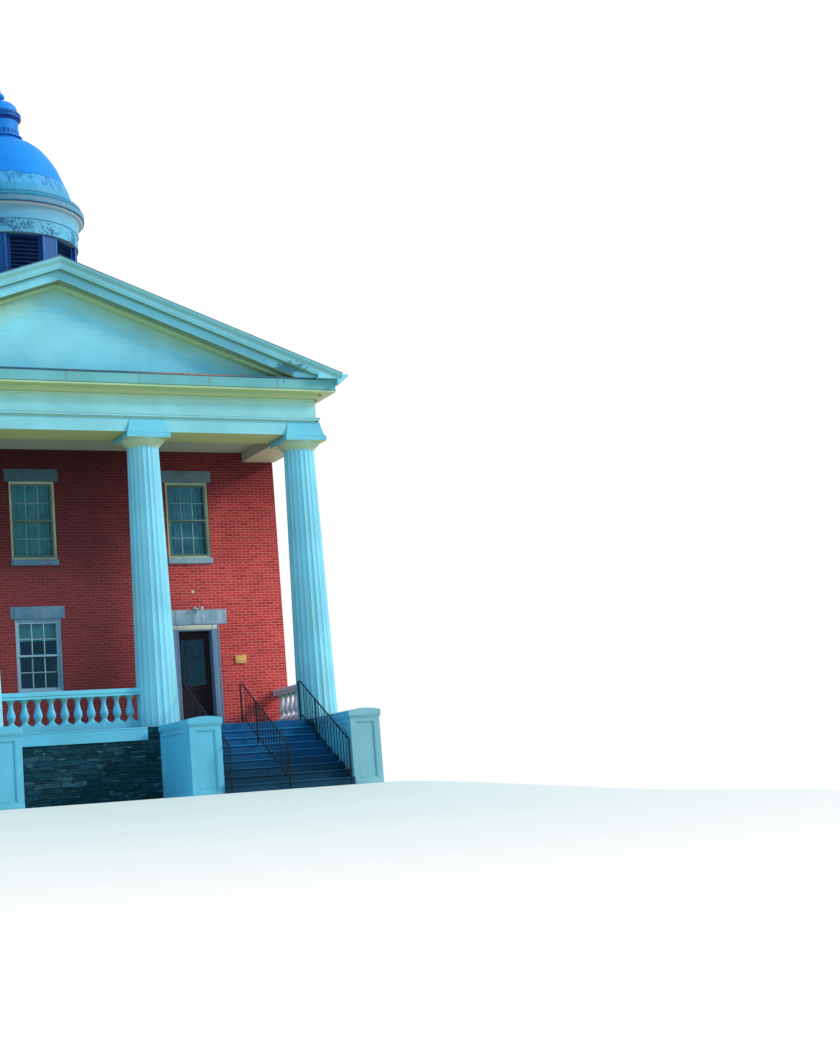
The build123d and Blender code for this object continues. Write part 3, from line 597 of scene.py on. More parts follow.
def timber_paint(name):
    """Pale blue, with painted shade making the sides bluer, greyer on the outermost blocks, and painted
    sunlight making the balustrades at the ends paler.
    """
    made = painted(name, (100, 186, 216), (120, 170, 140), (84, 128, 140), 0.16, 0.4)
    x, y, z = axes_in(made)
    repainted(made, over(z, PORCH_Z + 0.7), (112, 204, 232))
    outermost = 5.42
    end = over(size_of(x), outermost)
    repainted(made, times(end, 0.7), (142, 186, 192))
    # Painted shade: faces that look along X are painted bluer.
    painted_side_shade = over(size_of(facing(parts_of(made)[1])["X"]), 0.5)
    repainted(made, times(painted_side_shade, 0.85), (98, 204, 250))
    # Painted sunlight: the balustrades at the ends are painted paler.
    on_porch = times(over(z, PORCH_Z), over(y, PORCH_FRONT_Y))
    repainted(made, times(end, on_porch), (238, 226, 242))
    return made


low_paint, block_paint = timber_paint("low_paint"), timber_paint("block_paint")
block_paint = boarded(block_paint, "Y", 0.13, 0.005, (76, 154, 196), 0.003, only="X")
coat(block_paint, "pedestals")
trim_paint = painted("trim_paint", (112, 200, 228), UNDERSIDE_BOUNCE_AND_GRIME, (110, 128, 120), 0.18, 0.4)
BLOCK_X, BLOCK_HALF, BLOCK_FRONT, BLOCK_BACK = (2.11, 5.79), 0.35, -8.1405, -6.2245


def block_trim():
    """Mouldings of a cheek block that stands on X = 0: under the cap, and round the front and side panels."""
    w, front, back, top = BLOCK_HALF, BLOCK_FRONT, BLOCK_BACK, PORCH_Z - 0.11
    parts = []
    for out, low, high in ((0.022, top - 0.03, top), (0.011, top - 0.055, top - 0.03)):
        parts.append(board((-w - out, front - out, low), (w + out, back, high), 0.005, 2))
    bead, inset = 0.022, 0.13
    x0, z0, z1 = w - inset, inset, top - inset
    for x in (-x0, x0 - bead):
        parts.append(board((x, front + 0.003, z0), (x + bead, front + 0.026, z1), 0.006, 2))
    for z in (z0, z1 - bead):
        parts.append(board((-x0, front + 0.003, z), (x0, front + 0.026, z + bead), 0.006, 2))
    for side in (-1, 1):
        low, high = sorted((side * (w - 0.026), side * (w - 0.003)))
        for y in (front + inset, back - inset - bead):
            parts.append(board((low, y, z0), (high, y + bead, z1), 0.006, 2))
        for z in (z0, z1 - bead):
            parts.append(board((low, front + inset, z), (high, back - inset, z + bead), 0.006, 2))
    parts.append(board((-w - 0.006, front - 0.006, 0), (w + 0.006, back, 0.09), 0.006, 2))
    return joined("block_trim", parts)


def cheek_blocks():
    one = block_trim()
    parts = [copy_of(one, x=side * x) for x in BLOCK_X for side in (-1, 1)]
    drop(one)
    place_piece(joined("cheek_block_mouldings", parts, 40), low_paint, "white_paint")


cheek_blocks()


# Porch floor and its edge board
# Narrow boards run from the wall to the front, over a painted edge board with a bead along its top and foot.
COLUMN_Y, WALL_Y, BACK_Y, WALL_X = -5.6145, -3.2845, 7.7155, 6.07
porch_paint = painted("porch_paint", (48, 108, 150), (40, 60, 70), (110, 112, 104), 0.3, 0.2)
coat(boarded(porch_paint, "X", 0.11, 0.006, (30, 44, 52)), "porch_floor")
coat(low_paint, "porch_fascia_board")
floor_boards = painted("floor_boards", (66, 74, 76), (40, 58, 68), (60, 60, 56), 0.1, 0.1)
coat(boarded(floor_boards, "X", 0.14, 0.004, (30, 22, 16)), "ground_floor", "upper_floor")


def porch_edge():
    """Beads along the top and the foot of the edge board."""
    front, half = COLUMN_Y - 0.58, 1.49
    parts = [board((-half, front - 0.038, PORCH_Z - 0.03), (half, front - 0.026, PORCH_Z - 0.003), 0.004, 2),
             board((-half, front - 0.036, PORCH_Z - 0.28), (half, front - 0.028, PORCH_Z - 0.255), 0.003)]
    place_piece(joined("porch_edge_beads", parts, 40), low_paint, "white_paint")


porch_edge()


# Brick walls
# Hard red brick, 213 by 67.5 mm with its joint, in lime mortar, plastered on the inside.
# Broad patches of darker tone, and on the front wall painted shade: darker towards the middle and high up
# under the porch ceiling.
def brickwork():
    made, shader, place = finish_of("brick", 0.9, 0.04)
    (x, y, z), flat = axes_of(place), wall_plane(place)
    reds = tint(240, 78, 74), tint(198, 54, 56), tint(234, 158, 154)
    bricks = masonry(flat, 0.213, 0.0675, 0.007, 0.1, reds, -0.1)
    dark = spread(noise(place, 0.7, 4), 0.35, 0.7, 0.0, 0.25)
    colour = blend(dark, bricks["Color"], (124, 34, 40))
    spots = noise(flat, 24, 5, 0.7)
    colour = blend(spread(spots, 0.45, 0.75, 0.0, 0.35), colour, (84, 24, 32))
    front = below(y, WALL_Y + 0.02)
    colour = blend(times(minus(1.0, front), 0.34), colour, (120, 44, 46))
    # Painted shade: the front wall darkens towards its middle.
    middle = spread(size_of(x), 1.4, 4.7, 0.7, 0.0)
    colour = blend(times(front, middle), colour, (88, 54, 60))
    # Painted shade of the porch ceiling: the front wall darkens high up.
    painted_porch_shade = spread(times_plus(noise(place, 1.4, 4), 0.8, z), 5.4, 8.5, 0.0, 0.74)
    colour = blend(times(front, painted_porch_shade), colour, (28, 16, 20))
    inside_x = below(size_of(x), WALL_X - 0.395)
    middle = size_of(minus(y, (WALL_Y + BACK_Y) / 2))
    inside = times(inside_x, below(middle, (BACK_Y - WALL_Y) / 2 - 0.395))
    coloured(shader, blend(inside, colour, (58, 82, 94)))
    height = minus(times(spots, 0.3), bricks["Fac"])
    relief(shader, times(height, minus(1.0, inside)), 0.006)
    return made


coat(brickwork(), "front_wall_middle", "front_wall_ends", "front_wall_over_doors", "back_wall", "side_walls")


# Lintels and sills
# Single dressed blocks of grey sandstone with tooled faces and worn arrises, with painted shade high up and,
# on the front wall, towards its middle.
def sandstone():
    made, shader, place = finish_of("cut_stone", 0.85, 0.05)
    broad, fine = noise(place, 2.5, 6), noise(place, 45, 4, 0.7)
    colour = ramp(broad, (0.3, (130, 168, 190)), (0.55, (170, 194, 210)), (0.75, (192, 206, 216)))
    colour = blend(spread(fine, 0.4, 0.75, 0.0, 0.35), colour, (64, 92, 104))
    x, y, z = axes_of(place)
    # Painted shade: front-wall stones towards the middle are darker and bluer.
    shaded = times(spread(size_of(x), 1.4, 3.2, 0.62, 0.0), below(y, WALL_Y + 0.02))
    colour = blend(shaded, colour, (50, 114, 152))
    # Painted shade: the upper stones are darker, as under the porch ceiling.
    colour = blend(spread(z, 5.2, 7.2, 0.0, 0.64), colour, (62, 68, 44))
    tooled = node("TexWave", {"Vector": place, "Scale": 22.0, "Distortion": 3.0, "Detail": 2.0},
                  bands_direction="DIAGONAL").outputs["Fac"]
    stain = spread(noise(place, 1.0, 5, 0.6, (9, 9, 0.8)), 0.5, 0.75, 0.0, 0.5)
    coloured(shader, blend(stain, colour, (60, 78, 84)))
    relief(shader, times_plus(tooled, 0.35, fine), 0.006)
    return made


cut_stone = sandstone()
WINDOW_HALF, DOOR_X = 0.533, 3.78
LOW_WINDOW, HIGH_WINDOW = (2.7, 4.38), (5.76, 7.6)


def openings():
    """Every window: the turn of its wall, the wall's middle in plan, and the place along and up the wall."""
    front = [(0, LOW_WINDOW), (0, HIGH_WINDOW), (-DOOR_X, HIGH_WINDOW), (DOOR_X, HIGH_WINDOW)]
    walls = [(0, 0, WALL_Y, front)]
    rows = [(along, z) for along in (-1, 0, 1) for z in (LOW_WINDOW, HIGH_WINDOW)]
    walls.append((180, 0, BACK_Y, [(along * DOOR_X, z) for along, z in rows]))
    middle = (WALL_Y + BACK_Y) / 2
    for turn in (90, -90):
        walls.append((turn, copysign(WALL_X, turn), middle, [(along * 3.6, z) for along, z in rows]))
    return [(radians(turn), x, y, along, z) for turn, x, y, holes in walls for along, z in holes]


def in_wall(shape, hole, height=0.0):
    """A copy of a piece drawn on a wall that faces -Y through the origin, set in its own wall."""
    turn, x, y, along, _ = hole
    return moved(copy_of(shape, x=along, z=height), x, y, turn=turn)


def stones():
    half = WINDOW_HALF + 0.104
    lintel = board((-half, -0.015, 0), (half, 0.12, 0.29), 0.008, 2)
    half = WINDOW_HALF + 0.027
    sill = board((-half, -0.05, -0.14), (half, 0.2, -0.001), 0.008, 2)
    door = board((DOOR_X - 0.82, -0.015 + WALL_Y, 4.15), (DOOR_X + 0.82, 0.12 + WALL_Y, 4.5), 0.008, 2)
    holes = openings()
    lintels = [in_wall(lintel, hole, hole[4][1]) for hole in holes] + pair(door)
    sills = [in_wall(sill, hole, hole[4][0]) for hole in holes]
    drop(lintel, sill)
    place_piece(joined("lintel_stones", lintels, 40), cut_stone, "cut_stone", "stone_lintels")
    place_piece(joined("sill_stones", sills, 40), cut_stone, "cut_stone", "stone_sills")


stones()


# Windows
# Double-hung timber sashes of six panes over six in box frames, with slim bars and wavy old glass. The upper
# ones in front have storm frames. Old curtains and roller blinds hang behind them.
STOREY_Z = 5.0


def frame_paint():
    """Cream above and pale blue below, with the upper front sashes a dull green inside their frames."""
    made = painted("cream_paint", (196, 202, 170), (150, 160, 120), (110, 104, 84), 0.2, 0.4, 2.0)
    _, y, z = axes_in(made)
    high = over(z, STOREY_Z)
    sash = below(size_of(minus(y, WALL_Y + 0.13)), 0.07)
    repainted(made, minus(1.0, high), (150, 190, 214))
    repainted(made, times(high, sash), (96, 124, 118))
    return made


cream_paint = frame_paint()
sash_paint = painted("sash_paint", (164, 206, 214), (130, 150, 140), (120, 130, 124), 0.2, 0.3, 2.0)
repainted(sash_paint, over(axes_in(sash_paint)["Z"], STOREY_Z), (132, 172, 174))
storm_paint = painted("storm_paint", (106, 132, 120), (90, 100, 80), (80, 84, 74), 0.2, 0.4, 2.0)
coat(cream_paint, "front_windows", "side_windows", "back_windows")


def sash_bars(height):
    """The bars of both sashes of one window: two upright and one level bar in each."""
    inner, stile, frame_w, half_bar = 0.43, 0.048, 0.055, 0.012
    middle = height / 2
    sashes = ((0.064, 0.099, middle + stile / 2, height - frame_w - stile),
              (0.104, 0.139, frame_w + stile, middle - stile / 2))
    parts = []
    for y0, y1, z0, z1 in sashes:
        for x in (-inner / 3, inner / 3):
            parts.append(board((x - half_bar, y0, z0 - 0.003), (x + half_bar, y1, z1 + 0.003), 0.006))
        z = (z0 + z1) / 2
        parts.append(board((-inner - 0.003, y0 + 0.001, z - half_bar),
                           (inner + 0.003, y1 - 0.001, z + half_bar), 0.006))
    return joined("bars", parts)


def window_bars():
    one = {z: sash_bars(z[1] - z[0]) for z in (LOW_WINDOW, HIGH_WINDOW)}
    bars = [in_wall(one[hole[4]], hole, hole[4][0]) for hole in openings()]
    drop(*one.values())
    place_piece(joined("sash_bars", bars), sash_paint, "cream_paint")


def frame_of(half, z0, z1, y0, y1, width, rail=None):
    """A rectangular frame of boards, with a rail across it at that height."""
    parts = [board((x, y0, z0), (x + width, y1, z1), 0.004, 2) for x in (-half, half - width)]
    inside, y0, y1 = half - width, y0 + 0.001, y1 - 0.001
    levels = [z0, z1 - width] + ([rail] if rail else [])
    return parts + [board((-inside, y0, z), (inside, y1, z + width), 0.004, 2) for z in levels]


def window_casings():
    """A moulded casing in every window hole, and a storm frame in the upper front ones."""
    parts, storms, shapes = [], [], {}
    for z in (LOW_WINDOW, HIGH_WINDOW):
        sides = frame_of(WINDOW_HALF - 0.001, 0.001, z[1] - z[0] - 0.001, 0.018, 0.041, 0.03)
        shapes[z] = joined("casing", sides)
    height = HIGH_WINDOW[1] - HIGH_WINDOW[0]
    storm = joined("storm", frame_of(0.48, 0.05, height - 0.05, 0.028, 0.056, 0.032, height / 2 - 0.016))
    for hole in openings():
        parts.append(in_wall(shapes[hole[4]], hole, hole[4][0]))
        if hole[0] == 0 and hole[4] == HIGH_WINDOW:
            storms.append(in_wall(storm, hole, hole[4][0]))
    drop(*shapes.values(), storm)
    place_piece(joined("window_casings", parts, 40), cream_paint, "cream_paint")
    place_piece(joined("storm_frames", storms, 40), storm_paint, "cream_paint")


window_bars()
window_casings()


def old_glass():
    made, shader, place = finish_of("window_glass", 0.03, 0.2)
    shader.inputs["Base Color"].default_value = tint(176, 226, 236)
    shader.inputs["Transmission Weight"].default_value = 1.0
    shader.inputs["IOR"].default_value = 1.45
    shader.inputs["Specular Tint"].default_value = tint(120, 190, 240)
    relief(shader, noise(place, 3.5, 2), 0.004, 0.4)
    return made


coat(old_glass(), "window_glass", "door_right_glass")


def muslin(name, colour):
    made, shader, place = finish_of(name, 0.9)
    threads = node("TexWave", {"Vector": place, "Scale": 140.0, "Distortion": 0.4}, bands_direction="Z")
    shade = blend(spread(noise(place, 3, 4), 0.35, 0.7, 0.0, 0.6), colour, (110, 140, 134))
    shade = blend(times(threads.outputs["Fac"], 0.15), shade, (90, 110, 108))
    coloured(shader, shade)
    relief(shader, threads.outputs["Fac"], 0.0006)
    return made


CURTAIN_Y, RAIL_DROP = 0.3, 0.05
curtain_cloth = muslin("curtain_cloth", (158, 208, 198))
net_cloth = muslin("net_cloth", (180, 216, 228))
blind_cloth = muslin("blind_cloth", (196, 230, 234))


def hanging(x0, x1, z0, z1, y, folds, depth, flare):
    """A sheet hung from its top edge between x0 and x1, in folds that open out towards the hem."""
    bpy.ops.mesh.primitive_grid_add(x_subdivisions=max(2, folds * 10), y_subdivisions=8, size=1)
    made = bpy.context.object
    width, height = x1 - x0, z1 - z0
    for point in made.data.vertices:
        across_it, up = point.co.x + 0.5, point.co.y + 0.5
        swing = depth * (1 + flare * (1 - up)) * sin(across_it * folds * tau + 0.5 * sin(3 * up))
        point.co = (x0 + width * across_it, y + swing, z0 + height * up)
    bits, reach = 400, depth * (1 + flare / 2)
    line = [sin(i / bits * folds * tau) for i in range(bits + 1)]
    length = sum(hypot(width / bits, reach * (b - a)) for a, b in zip(line, line[1:]))
    bpy.ops.object.shade_smooth()
    return made, (length, height)


def curtains():
    """Curtains in the upper front windows, a blind partly down in the lower one, drawn blinds elsewhere."""
    low, high, blind_top = HIGH_WINDOW[0] + 0.02, HIGH_WINDOW[1] - RAIL_DROP, LOW_WINDOW[1] - RAIL_DROP
    rod = bent_strap([(x, CURTAIN_Y, 0) for x in (-0.531, -0.2, 0.2, 0.531)], 0.02)
    rods, hung = [], []
    for i, hole in enumerate(openings()):
        in_front, upper = hole[0] == 0, hole[4] == HIGH_WINDOW
        if in_front and upper:
            rods.append(in_wall(rod, hole, high))
            for side, x0, x1 in (("a", -0.5, -0.02), ("b", -0.01, 0.5)):
                shape, flat = hanging(x0, x1, low, high, CURTAIN_Y + 0.05, 5, 0.016, 0.8)
                cloth = curtain_cloth if hole[3] == 0 else net_cloth
                hung.append((shape, hole, f"curtain_{i}_{side}", cloth, flat, "gathered"))
        elif not upper:
            rods.append(in_wall(rod, hole, blind_top))
            foot = blind_top - 0.43 if in_front else LOW_WINDOW[0] + 0.01
            shape, flat = hanging(-0.515, 0.515, foot, blind_top, CURTAIN_Y - 0.012, 1, 0.002, 0.5)
            hung.append((shape, hole, f"blind_{i}", blind_cloth, flat, "hung"))
    drop(rod)
    place_piece(joined("curtain_rods", rods, 40), sash_paint, "cream_paint")
    for shape, hole, name, cloth, flat, held in hung:
        made = named(in_wall(shape, hole), name)
        drop(shape)
        place_piece(made, cloth, "cream_paint")


curtains()


# Doors
# Two tall leaves of dark painted pine with a glass light over sunk panels, deep in panelled blue-grey jambs
# under a cream head. Beads round the light and panels are nailed on, and each leaf has a turned brass knob.
door_brown = painted("door_brown", (38, 28, 34), (30, 24, 24), (84, 56, 46), 0.14, 0.35, 2.0)
jamb_paint = painted("jamb_paint", (118, 144, 174), (150, 164, 140), (96, 104, 104), 0.2, 0.35)
head_paint = painted("head_paint", (206, 206, 188), (150, 150, 120), (120, 116, 100), 0.25, 0.4, 2.0)
coat(door_brown, "door_left", "door_right")
coat(jamb_paint, "door_frames")


def turned(profile, sides, at=(0, 0), turn=0.0, smooth=35, base=0.0):
    """A turned piece: a ring drawn up along its profile of (radius, height over the base)."""
    profile = [(radius, base + height) for radius, height in profile]
    radius, height = profile[0]
    bpy.ops.mesh.primitive_circle_add(vertices=sides, radius=radius, fill_type="NGON",
                                      location=(*at, height), rotation=(0, 0, turn))
    made = bpy.context.object
    bpy.ops.object.transform_apply()
    mode("EDIT")
    bpy.ops.mesh.select_all(action="SELECT")
    for (r0, z0), (r1, z1) in zip(profile, profile[1:]):
        bpy.ops.mesh.extrude_region_move(TRANSFORM_OT_translate={"value": (0, 0, z1 - z0)})
        bpy.ops.transform.resize(value=(r1 / r0, r1 / r0, 1), center_override=(*at, z1))
    bpy.ops.mesh.select_all(action="SELECT")
    bpy.ops.mesh.normals_make_consistent(inside=False)
    mode("OBJECT")
    bpy.ops.object.shade_smooth_by_angle(angle=radians(smooth))
    return made


def brass_finish():
    made, shader, place = finish_of("old_brass", 0.35, 0.5)
    shader.inputs["Metallic"].default_value = 1.0
    coloured(shader, blend(noise(place, 40, 4), (150, 120, 66), (84, 66, 42)))
    return made


old_brass = brass_finish()


def leaf_trim():
    """Beads round the light and both panels of the right leaf."""
    y, half, parts = WALL_Y + 0.207, 0.317, []
    for z0, z1 in ((2.678, 3.832), (1.828, 2.162), (2.248, 2.582)):
        parts += frame_of(half, z0, z1, y - 0.006, y + 0.014, 0.022)
    return moved(joined("beads", parts, 40), DOOR_X)


def knob():
    made = turned([(0.026, 0), (0.026, 0.006), (0.01, 0.01), (0.009, 0.026), (0.02, 0.034), (0.025, 0.046),
                   (0.02, 0.056), (0.006, 0.06)], 20)
    return moved(made, DOOR_X - 0.365, WALL_Y + 0.2068, 2.62, lean=radians(90))


def door_casings():
    """Raised mouldings on the jambs' faces and a cream board over each doorway."""
    y, parts = WALL_Y, []
    for x in (DOOR_X - 0.607, DOOR_X + 0.607 - 0.035, DOOR_X - 0.45, DOOR_X + 0.425):
        parts.append(board((x, y - 0.012, PORCH_Z), (x + 0.025, y + 0.01, 4.145), 0.005, 2))
    for x in (DOOR_X - 0.565, DOOR_X + 0.565):
        for z0, z1 in ((1.8, 2.6), (2.72, 3.86)):
            low, high = sorted((x, x - copysign(0.1, x - DOOR_X)))
            parts.append(board((low, y - 0.006, z0), (high, y + 0.01, z1), 0.004))
    casing = joined("casing", parts, 40)
    head = board((DOOR_X - 0.56, y - 0.01, 4.025), (DOOR_X + 0.56, y + 0.01, 4.13), 0.004, 2)
    return casing, head


def doors():
    for name, right, finish, slot in (("beads", leaf_trim(), door_brown, "door_brown"),
                                      ("knob", knob(), old_brass, "black_iron")):
        left = copy_of(right, flip=True)
        place_piece(named(right, f"right_door_{name}"), finish, slot, body="right_door")
        place_piece(named(left, f"left_door_{name}"), finish, slot)
    casing, head = door_casings()
    place_piece(joined("door_casings", pair(casing), 40), jamb_paint, "white_paint")
    place_piece(joined("door_heads", pair(head), 40), head_paint, "cream_paint")


doors()


# Lamps and board by the right door
# Two small floodlights on one bracket stand on the door lintel, under a round cover plate. A bare cream board
# hangs beside the doorway.
lamp_paint = painted("lamp_paint", (206, 208, 212), (150, 150, 150), (120, 120, 124), 0.2, 0.3, 3.0)
board_paint = painted("board_paint", (240, 180, 112), (150, 130, 100), (150, 110, 84), 0.3, 0.3, 3.0)


def door_lamps():
    x, y, z = DOOR_X + 0.08, WALL_Y - 0.02, 4.5
    parts = [board((x - 0.035, y - 0.035, z), (x + 0.035, y + 0.02, z + 0.035), 0.006, 2)]
    hood = [(0.014, 0), (0.02, 0.02), (0.023, 0.06), (0.042, 0.1), (0.046, 0.107), (0.04, 0.111)]
    for side in (-1, 1):
        lamp = turned(hood, 20)
        parts.append(moved(lamp, x + side * 0.035, y - 0.015, z + 0.052, radians(side * 40), radians(110)))
    cover = turned([(0.04, 0), (0.04, 0.006), (0.03, 0.014), (0.01, 0.018)], 20)
    moved(cover, DOOR_X, WALL_Y, 4.93, lean=radians(90))
    place_piece(joined("flood_lamps", parts + [cover], 40), lamp_paint, "white_paint")


def wall_board():
    x, y = 4.9, WALL_Y
    panel = board((x - 0.13, y - 0.022, 3.19), (x + 0.13, y - 0.001, 3.37), 0.004, 2)
    rim = joined("rim", frame_of(0.142, 3.178, 3.382, y - 0.028, y - 0.001, 0.014), 40)
    moved(rim, x)
    place_piece(joined("wall_board", [panel, rim], 40), board_paint, "cream_paint")


door_lamps()
wall_board()


# Columns
# Four tapering shafts built up of timber staves, with twenty flutes each that meet in sharp arrises.
# There is no base: each stands straight on the porch floor.
column_paint = painted("column_paint", (134, 210, 234), UNDERSIDE_BOUNCE_AND_GRIME, (112, 128, 120), 0.22, 0.5)
COLUMN_X, SHAFT_R0, SHAFT_R1, SHAFT_TOP = (1.96, 5.79), 0.466, 0.356, 7.9
FLUTES, CUTS, FLUTE_DEPTH = 20, 8, 0.022


def picked(shape, test):
    """Goes into edit mode with just the points selected whose place passes the test."""
    mode("OBJECT")
    for edge in shape.data.edges:
        edge.select = False
    for face in shape.data.polygons:
        face.select = False
    for point in shape.data.vertices:
        point.select = test(point.co)
    mode("EDIT")


def shaft():
    """One shaft on the Z axis: a round log, pressed in between the arrises to make the flutes."""
    bpy.ops.object.select_all(action="DESELECT")
    points = FLUTES * CUTS
    bpy.ops.mesh.primitive_cylinder_add(vertices=points, radius=SHAFT_R0, depth=SHAFT_TOP - PORCH_Z,
                                        location=(0, 0, (SHAFT_TOP + PORCH_Z) / 2))
    made = bpy.context.object
    bpy.ops.object.transform_apply()

    def from_arris(co):
        """How many cuts a point is from its nearest arris."""
        cut = round(atan2(co.x, co.y) / tau * points) % CUTS
        return min(cut, CUTS - cut)

    for step in range(1, CUTS // 2 + 1):
        press = 1 - FLUTE_DEPTH / SHAFT_R0 * sin(pi * step / CUTS)
        picked(made, lambda co: from_arris(co) == step)
        bpy.ops.transform.resize(value=(press, press, 1), center_override=(0, 0, 0))
    picked(made, lambda co: co.z > SHAFT_TOP - 0.01)
    taper = SHAFT_R1 / SHAFT_R0
    bpy.ops.transform.resize(value=(taper, taper, 1), center_override=(0, 0, SHAFT_TOP))
    mode("OBJECT")
    bpy.ops.object.shade_smooth_by_angle(angle=radians(28))
    return made


def columns():
    one = shaft()
    for i, x in enumerate((-COLUMN_X[1], -COLUMN_X[0], COLUMN_X[0], COLUMN_X[1]), 1):
        made = named(copy_of(one, x=x, y=COLUMN_Y), f"fluted_column_{i}")
        place_piece(made, column_paint, "white_paint", f"column_{i}")
    drop(one)


columns()


# Capitals
# A turned bulging echinus under a square abacus of boards, with coved cover boards rising to the beam.
def capitals():
    bulge = [(-0.004, -0.02), (0.008, 0), (0.012, 0.012), (0.032, 0.03), (0.052, 0.052), (0.078, 0.078),
             (0.1, 0.101), (0.122, 0.127), (0.139, 0.15), (0.148, 0.166), (0.14, 0.175)]
    echinus = turned([(SHAFT_R1 + r, z) for r, z in bulge], 64, base=SHAFT_TOP)
    half, low, top = 0.51, 8.07, 8.18
    abacus = board((-half, -half, low), (half, half, top), 0.006, 2)
    corner = sqrt(2)
    cove = [((half - 0.012 - 0.093 * t) * corner, top + 0.35 * t ** 1.6) for t in [i / 8 for i in range(9)]]
    edge = half * corner
    flare = turned([(edge, top), (edge, top + 0.006)] + cove[1:], 4, turn=radians(45), smooth=25)
    one = joined("capital", [echinus, abacus, flare])
    parts = [copy_of(one, x=side * x, y=COLUMN_Y) for x in COLUMN_X for side in (-1, 1)]
    drop(one)
    place_piece(joined("column_capitals", parts), trim_paint, "white_paint", "capitals")


capitals()


# Balustrades
# Turned vase balusters between square blocks, housed in a moulded cap rail and a plain foot rail.
def baluster():
    low, high, block = 1.77, 2.35, 0.108
    vase = [(0.1, 0.03), (0.1, 0.05), (0.086, 0.08), (0.062, 0.12), (0.052, 0.155), (0.054, 0.18),
            (0.072, 0.24), (0.088, 0.31), (0.095, 0.37), (0.093, 0.43), (0.083, 0.5), (0.07, 0.57),
            (0.058, 0.65), (0.05, 0.73), (0.048, 0.8), (0.055, 0.85), (0.074, 0.91), (0.098, 0.955),
            (0.108, 0.975), (0.108, 0.995)]
    parts = [turned([(r, low + (high - low) * t) for r, t in vase], 20)]
    parts.append(board((-block, -block, low - 0.005), (block, block, low + 0.025), 0.004))
    return joined("baluster", parts)


def balustrade(half, count):
    """One run along X through the origin."""
    gap, one = 0.292, baluster()
    parts = [copy_of(one, x=(i - (count - 1) / 2) * gap) for i in range(count)]
    drop(one)
    parts += [board((-half, -0.125, 2.4), (half, 0.125, 2.5), 0.018, 3),
              board((-half, -0.114, 2.345), (half, 0.114, 2.4), 0.006, 2),
              board((-half, -0.114, PORCH_Z), (half, 0.114, 1.77), 0.008, 2)]
    return joined("run", parts)


def balustrades():
    front = moved(balustrade(1.6, 10), 0, COLUMN_Y)
    back, start = WALL_Y, COLUMN_Y + 0.36
    side = moved(balustrade((back - start) / 2, 6), COLUMN_X[1], (back + start) / 2, turn=pi / 2)
    place_piece(joined("vase_balustrades", [front, *pair(side)]), low_paint, "white_paint", "balustrades")


balustrades()


# Entablature and gables
# Boarded beams on the columns: plain architrave, fillet, frieze, bed mould and a deep boxed cornice, with the
# gable ends flush-boarded behind raking cornices. Painted bounce light turns their undersides and the top of
# the frieze olive, and paint peels where water gets in: along the fillet, at the joints of the fascia and
# where the rakes come down on it.
FRONT_FACE, BACK_FACE, SIDE_FACE = -6.0195, 7.7655, 6.12
SLOPE, RIDGE_Z, CORNICE_Z, FASCIA_Z = 0.3655, 12.0, 9.461, 9.2


def cornice_coat(name, paint, under, flaking):
    """Paint of the beams and cornices, with painted bounce light at the top of the frieze, its stains and its
    peeling places.
    """
    made = painted(name, paint, under, (64, 108, 128), flaking, 0.28)
    _, place, old = parts_of(made)
    x, y, z = axes_of(place)
    # Painted bounce light: the top of the frieze, under the cornice, turns olive-yellow.
    ragged = times_plus(noise(place, 3.0, 4), 0.12, z)
    painted_frieze_bounce = times(spread(ragged, 8.84, 9.24, 0.0, 0.8), below(z, 9.205))
    frieze = below(size_of(minus(z, 8.85)), 0.23)
    repainted(made, frieze, (160, 226, 234))
    repainted(made, over(z, FASCIA_Z), (112, 182, 188))
    repainted(made, painted_frieze_bounce, (190, 210, 150))
    out_from = size_of(x)
    start, length = 17.38, 1.66
    along = sums("FRACT", sums("DIVIDE", plus(x, start), length))
    joint = times(close_to(along, 0.5, 0.022), close_to(z, 9.34, 0.14, 4.0), clamp=True)
    joint = times(joint, below(y, FRONT_FACE - 0.3))
    repainted(made, times(joint, 0.5), (134, 134, 118))
    wet = times(close_to(out_from, 5.3, 0.9, 1.3), close_to(z, 9.68, 0.34))
    wet = larger(wet, close_to(z, 8.59, 0.09, 0.3))
    wet = larger(wet, times(close_to(out_from, 4.9, 1.3, 0.5), close_to(z, 9.38, 0.1)))
    link(plus(wet, flaking), old.inputs["Flaking"])
    return made


high_paint = cornice_coat("high_paint", (140, 208, 222), UNDERSIDE_BOUNCE_AND_GRIME, 0.22)
rake_paint = cornice_coat("rake_paint", (124, 200, 220), (122, 162, 132), 0.2)
repainted(rake_paint, over(axes_in(rake_paint)["Z"], FASCIA_Z), (138, 212, 232))
beam_paint = cornice_coat("beam_paint", (140, 208, 222), (212, 190, 152), 0.22)
# The beams' faces inside the portico are painted tan: painted shade, like the porch ceiling's.
inner = below(size_of(axes_in(beam_paint)["X"]), SIDE_FACE - 0.03)
repainted(beam_paint, inner, (180, 166, 146))
coat(high_paint, "entablature_front", "entablature_back")
coat(beam_paint, "entablature_sides")
coat(rake_paint, "raking_cornice", "eaves")


def tympanum_boards():
    """Flush boards, faintly jointed: painted bounce light yellows them under the rakes, and they are bluer at
    the foot.
    """
    made = painted("gable_boards", (138, 212, 230), UNDERSIDE_BOUNCE_AND_GRIME, (84, 132, 146), 0.34, 0.12)
    place = parts_of(made)[1]
    x, _, z = axes_of(place)
    # Painted bounce light: yellow-green under the rakes.
    under_rake = times_plus(size_of(x), SLOPE, z)
    ragged = times_plus(noise(place, 1.6, 4), 0.5, under_rake)
    repainted(made, spread(ragged, 11.2, 11.75, 0.0, 0.72), (164, 192, 138))
    bluer_foot = times_plus(noise(place, 1.1, 5), 1.1, z)
    repainted(made, spread(bluer_foot, 9.9, 10.7, 0.8, 0.0), (108, 192, 226))
    return boarded(made, "Z", 0.16, 0.003, (104, 172, 190), 0.001)


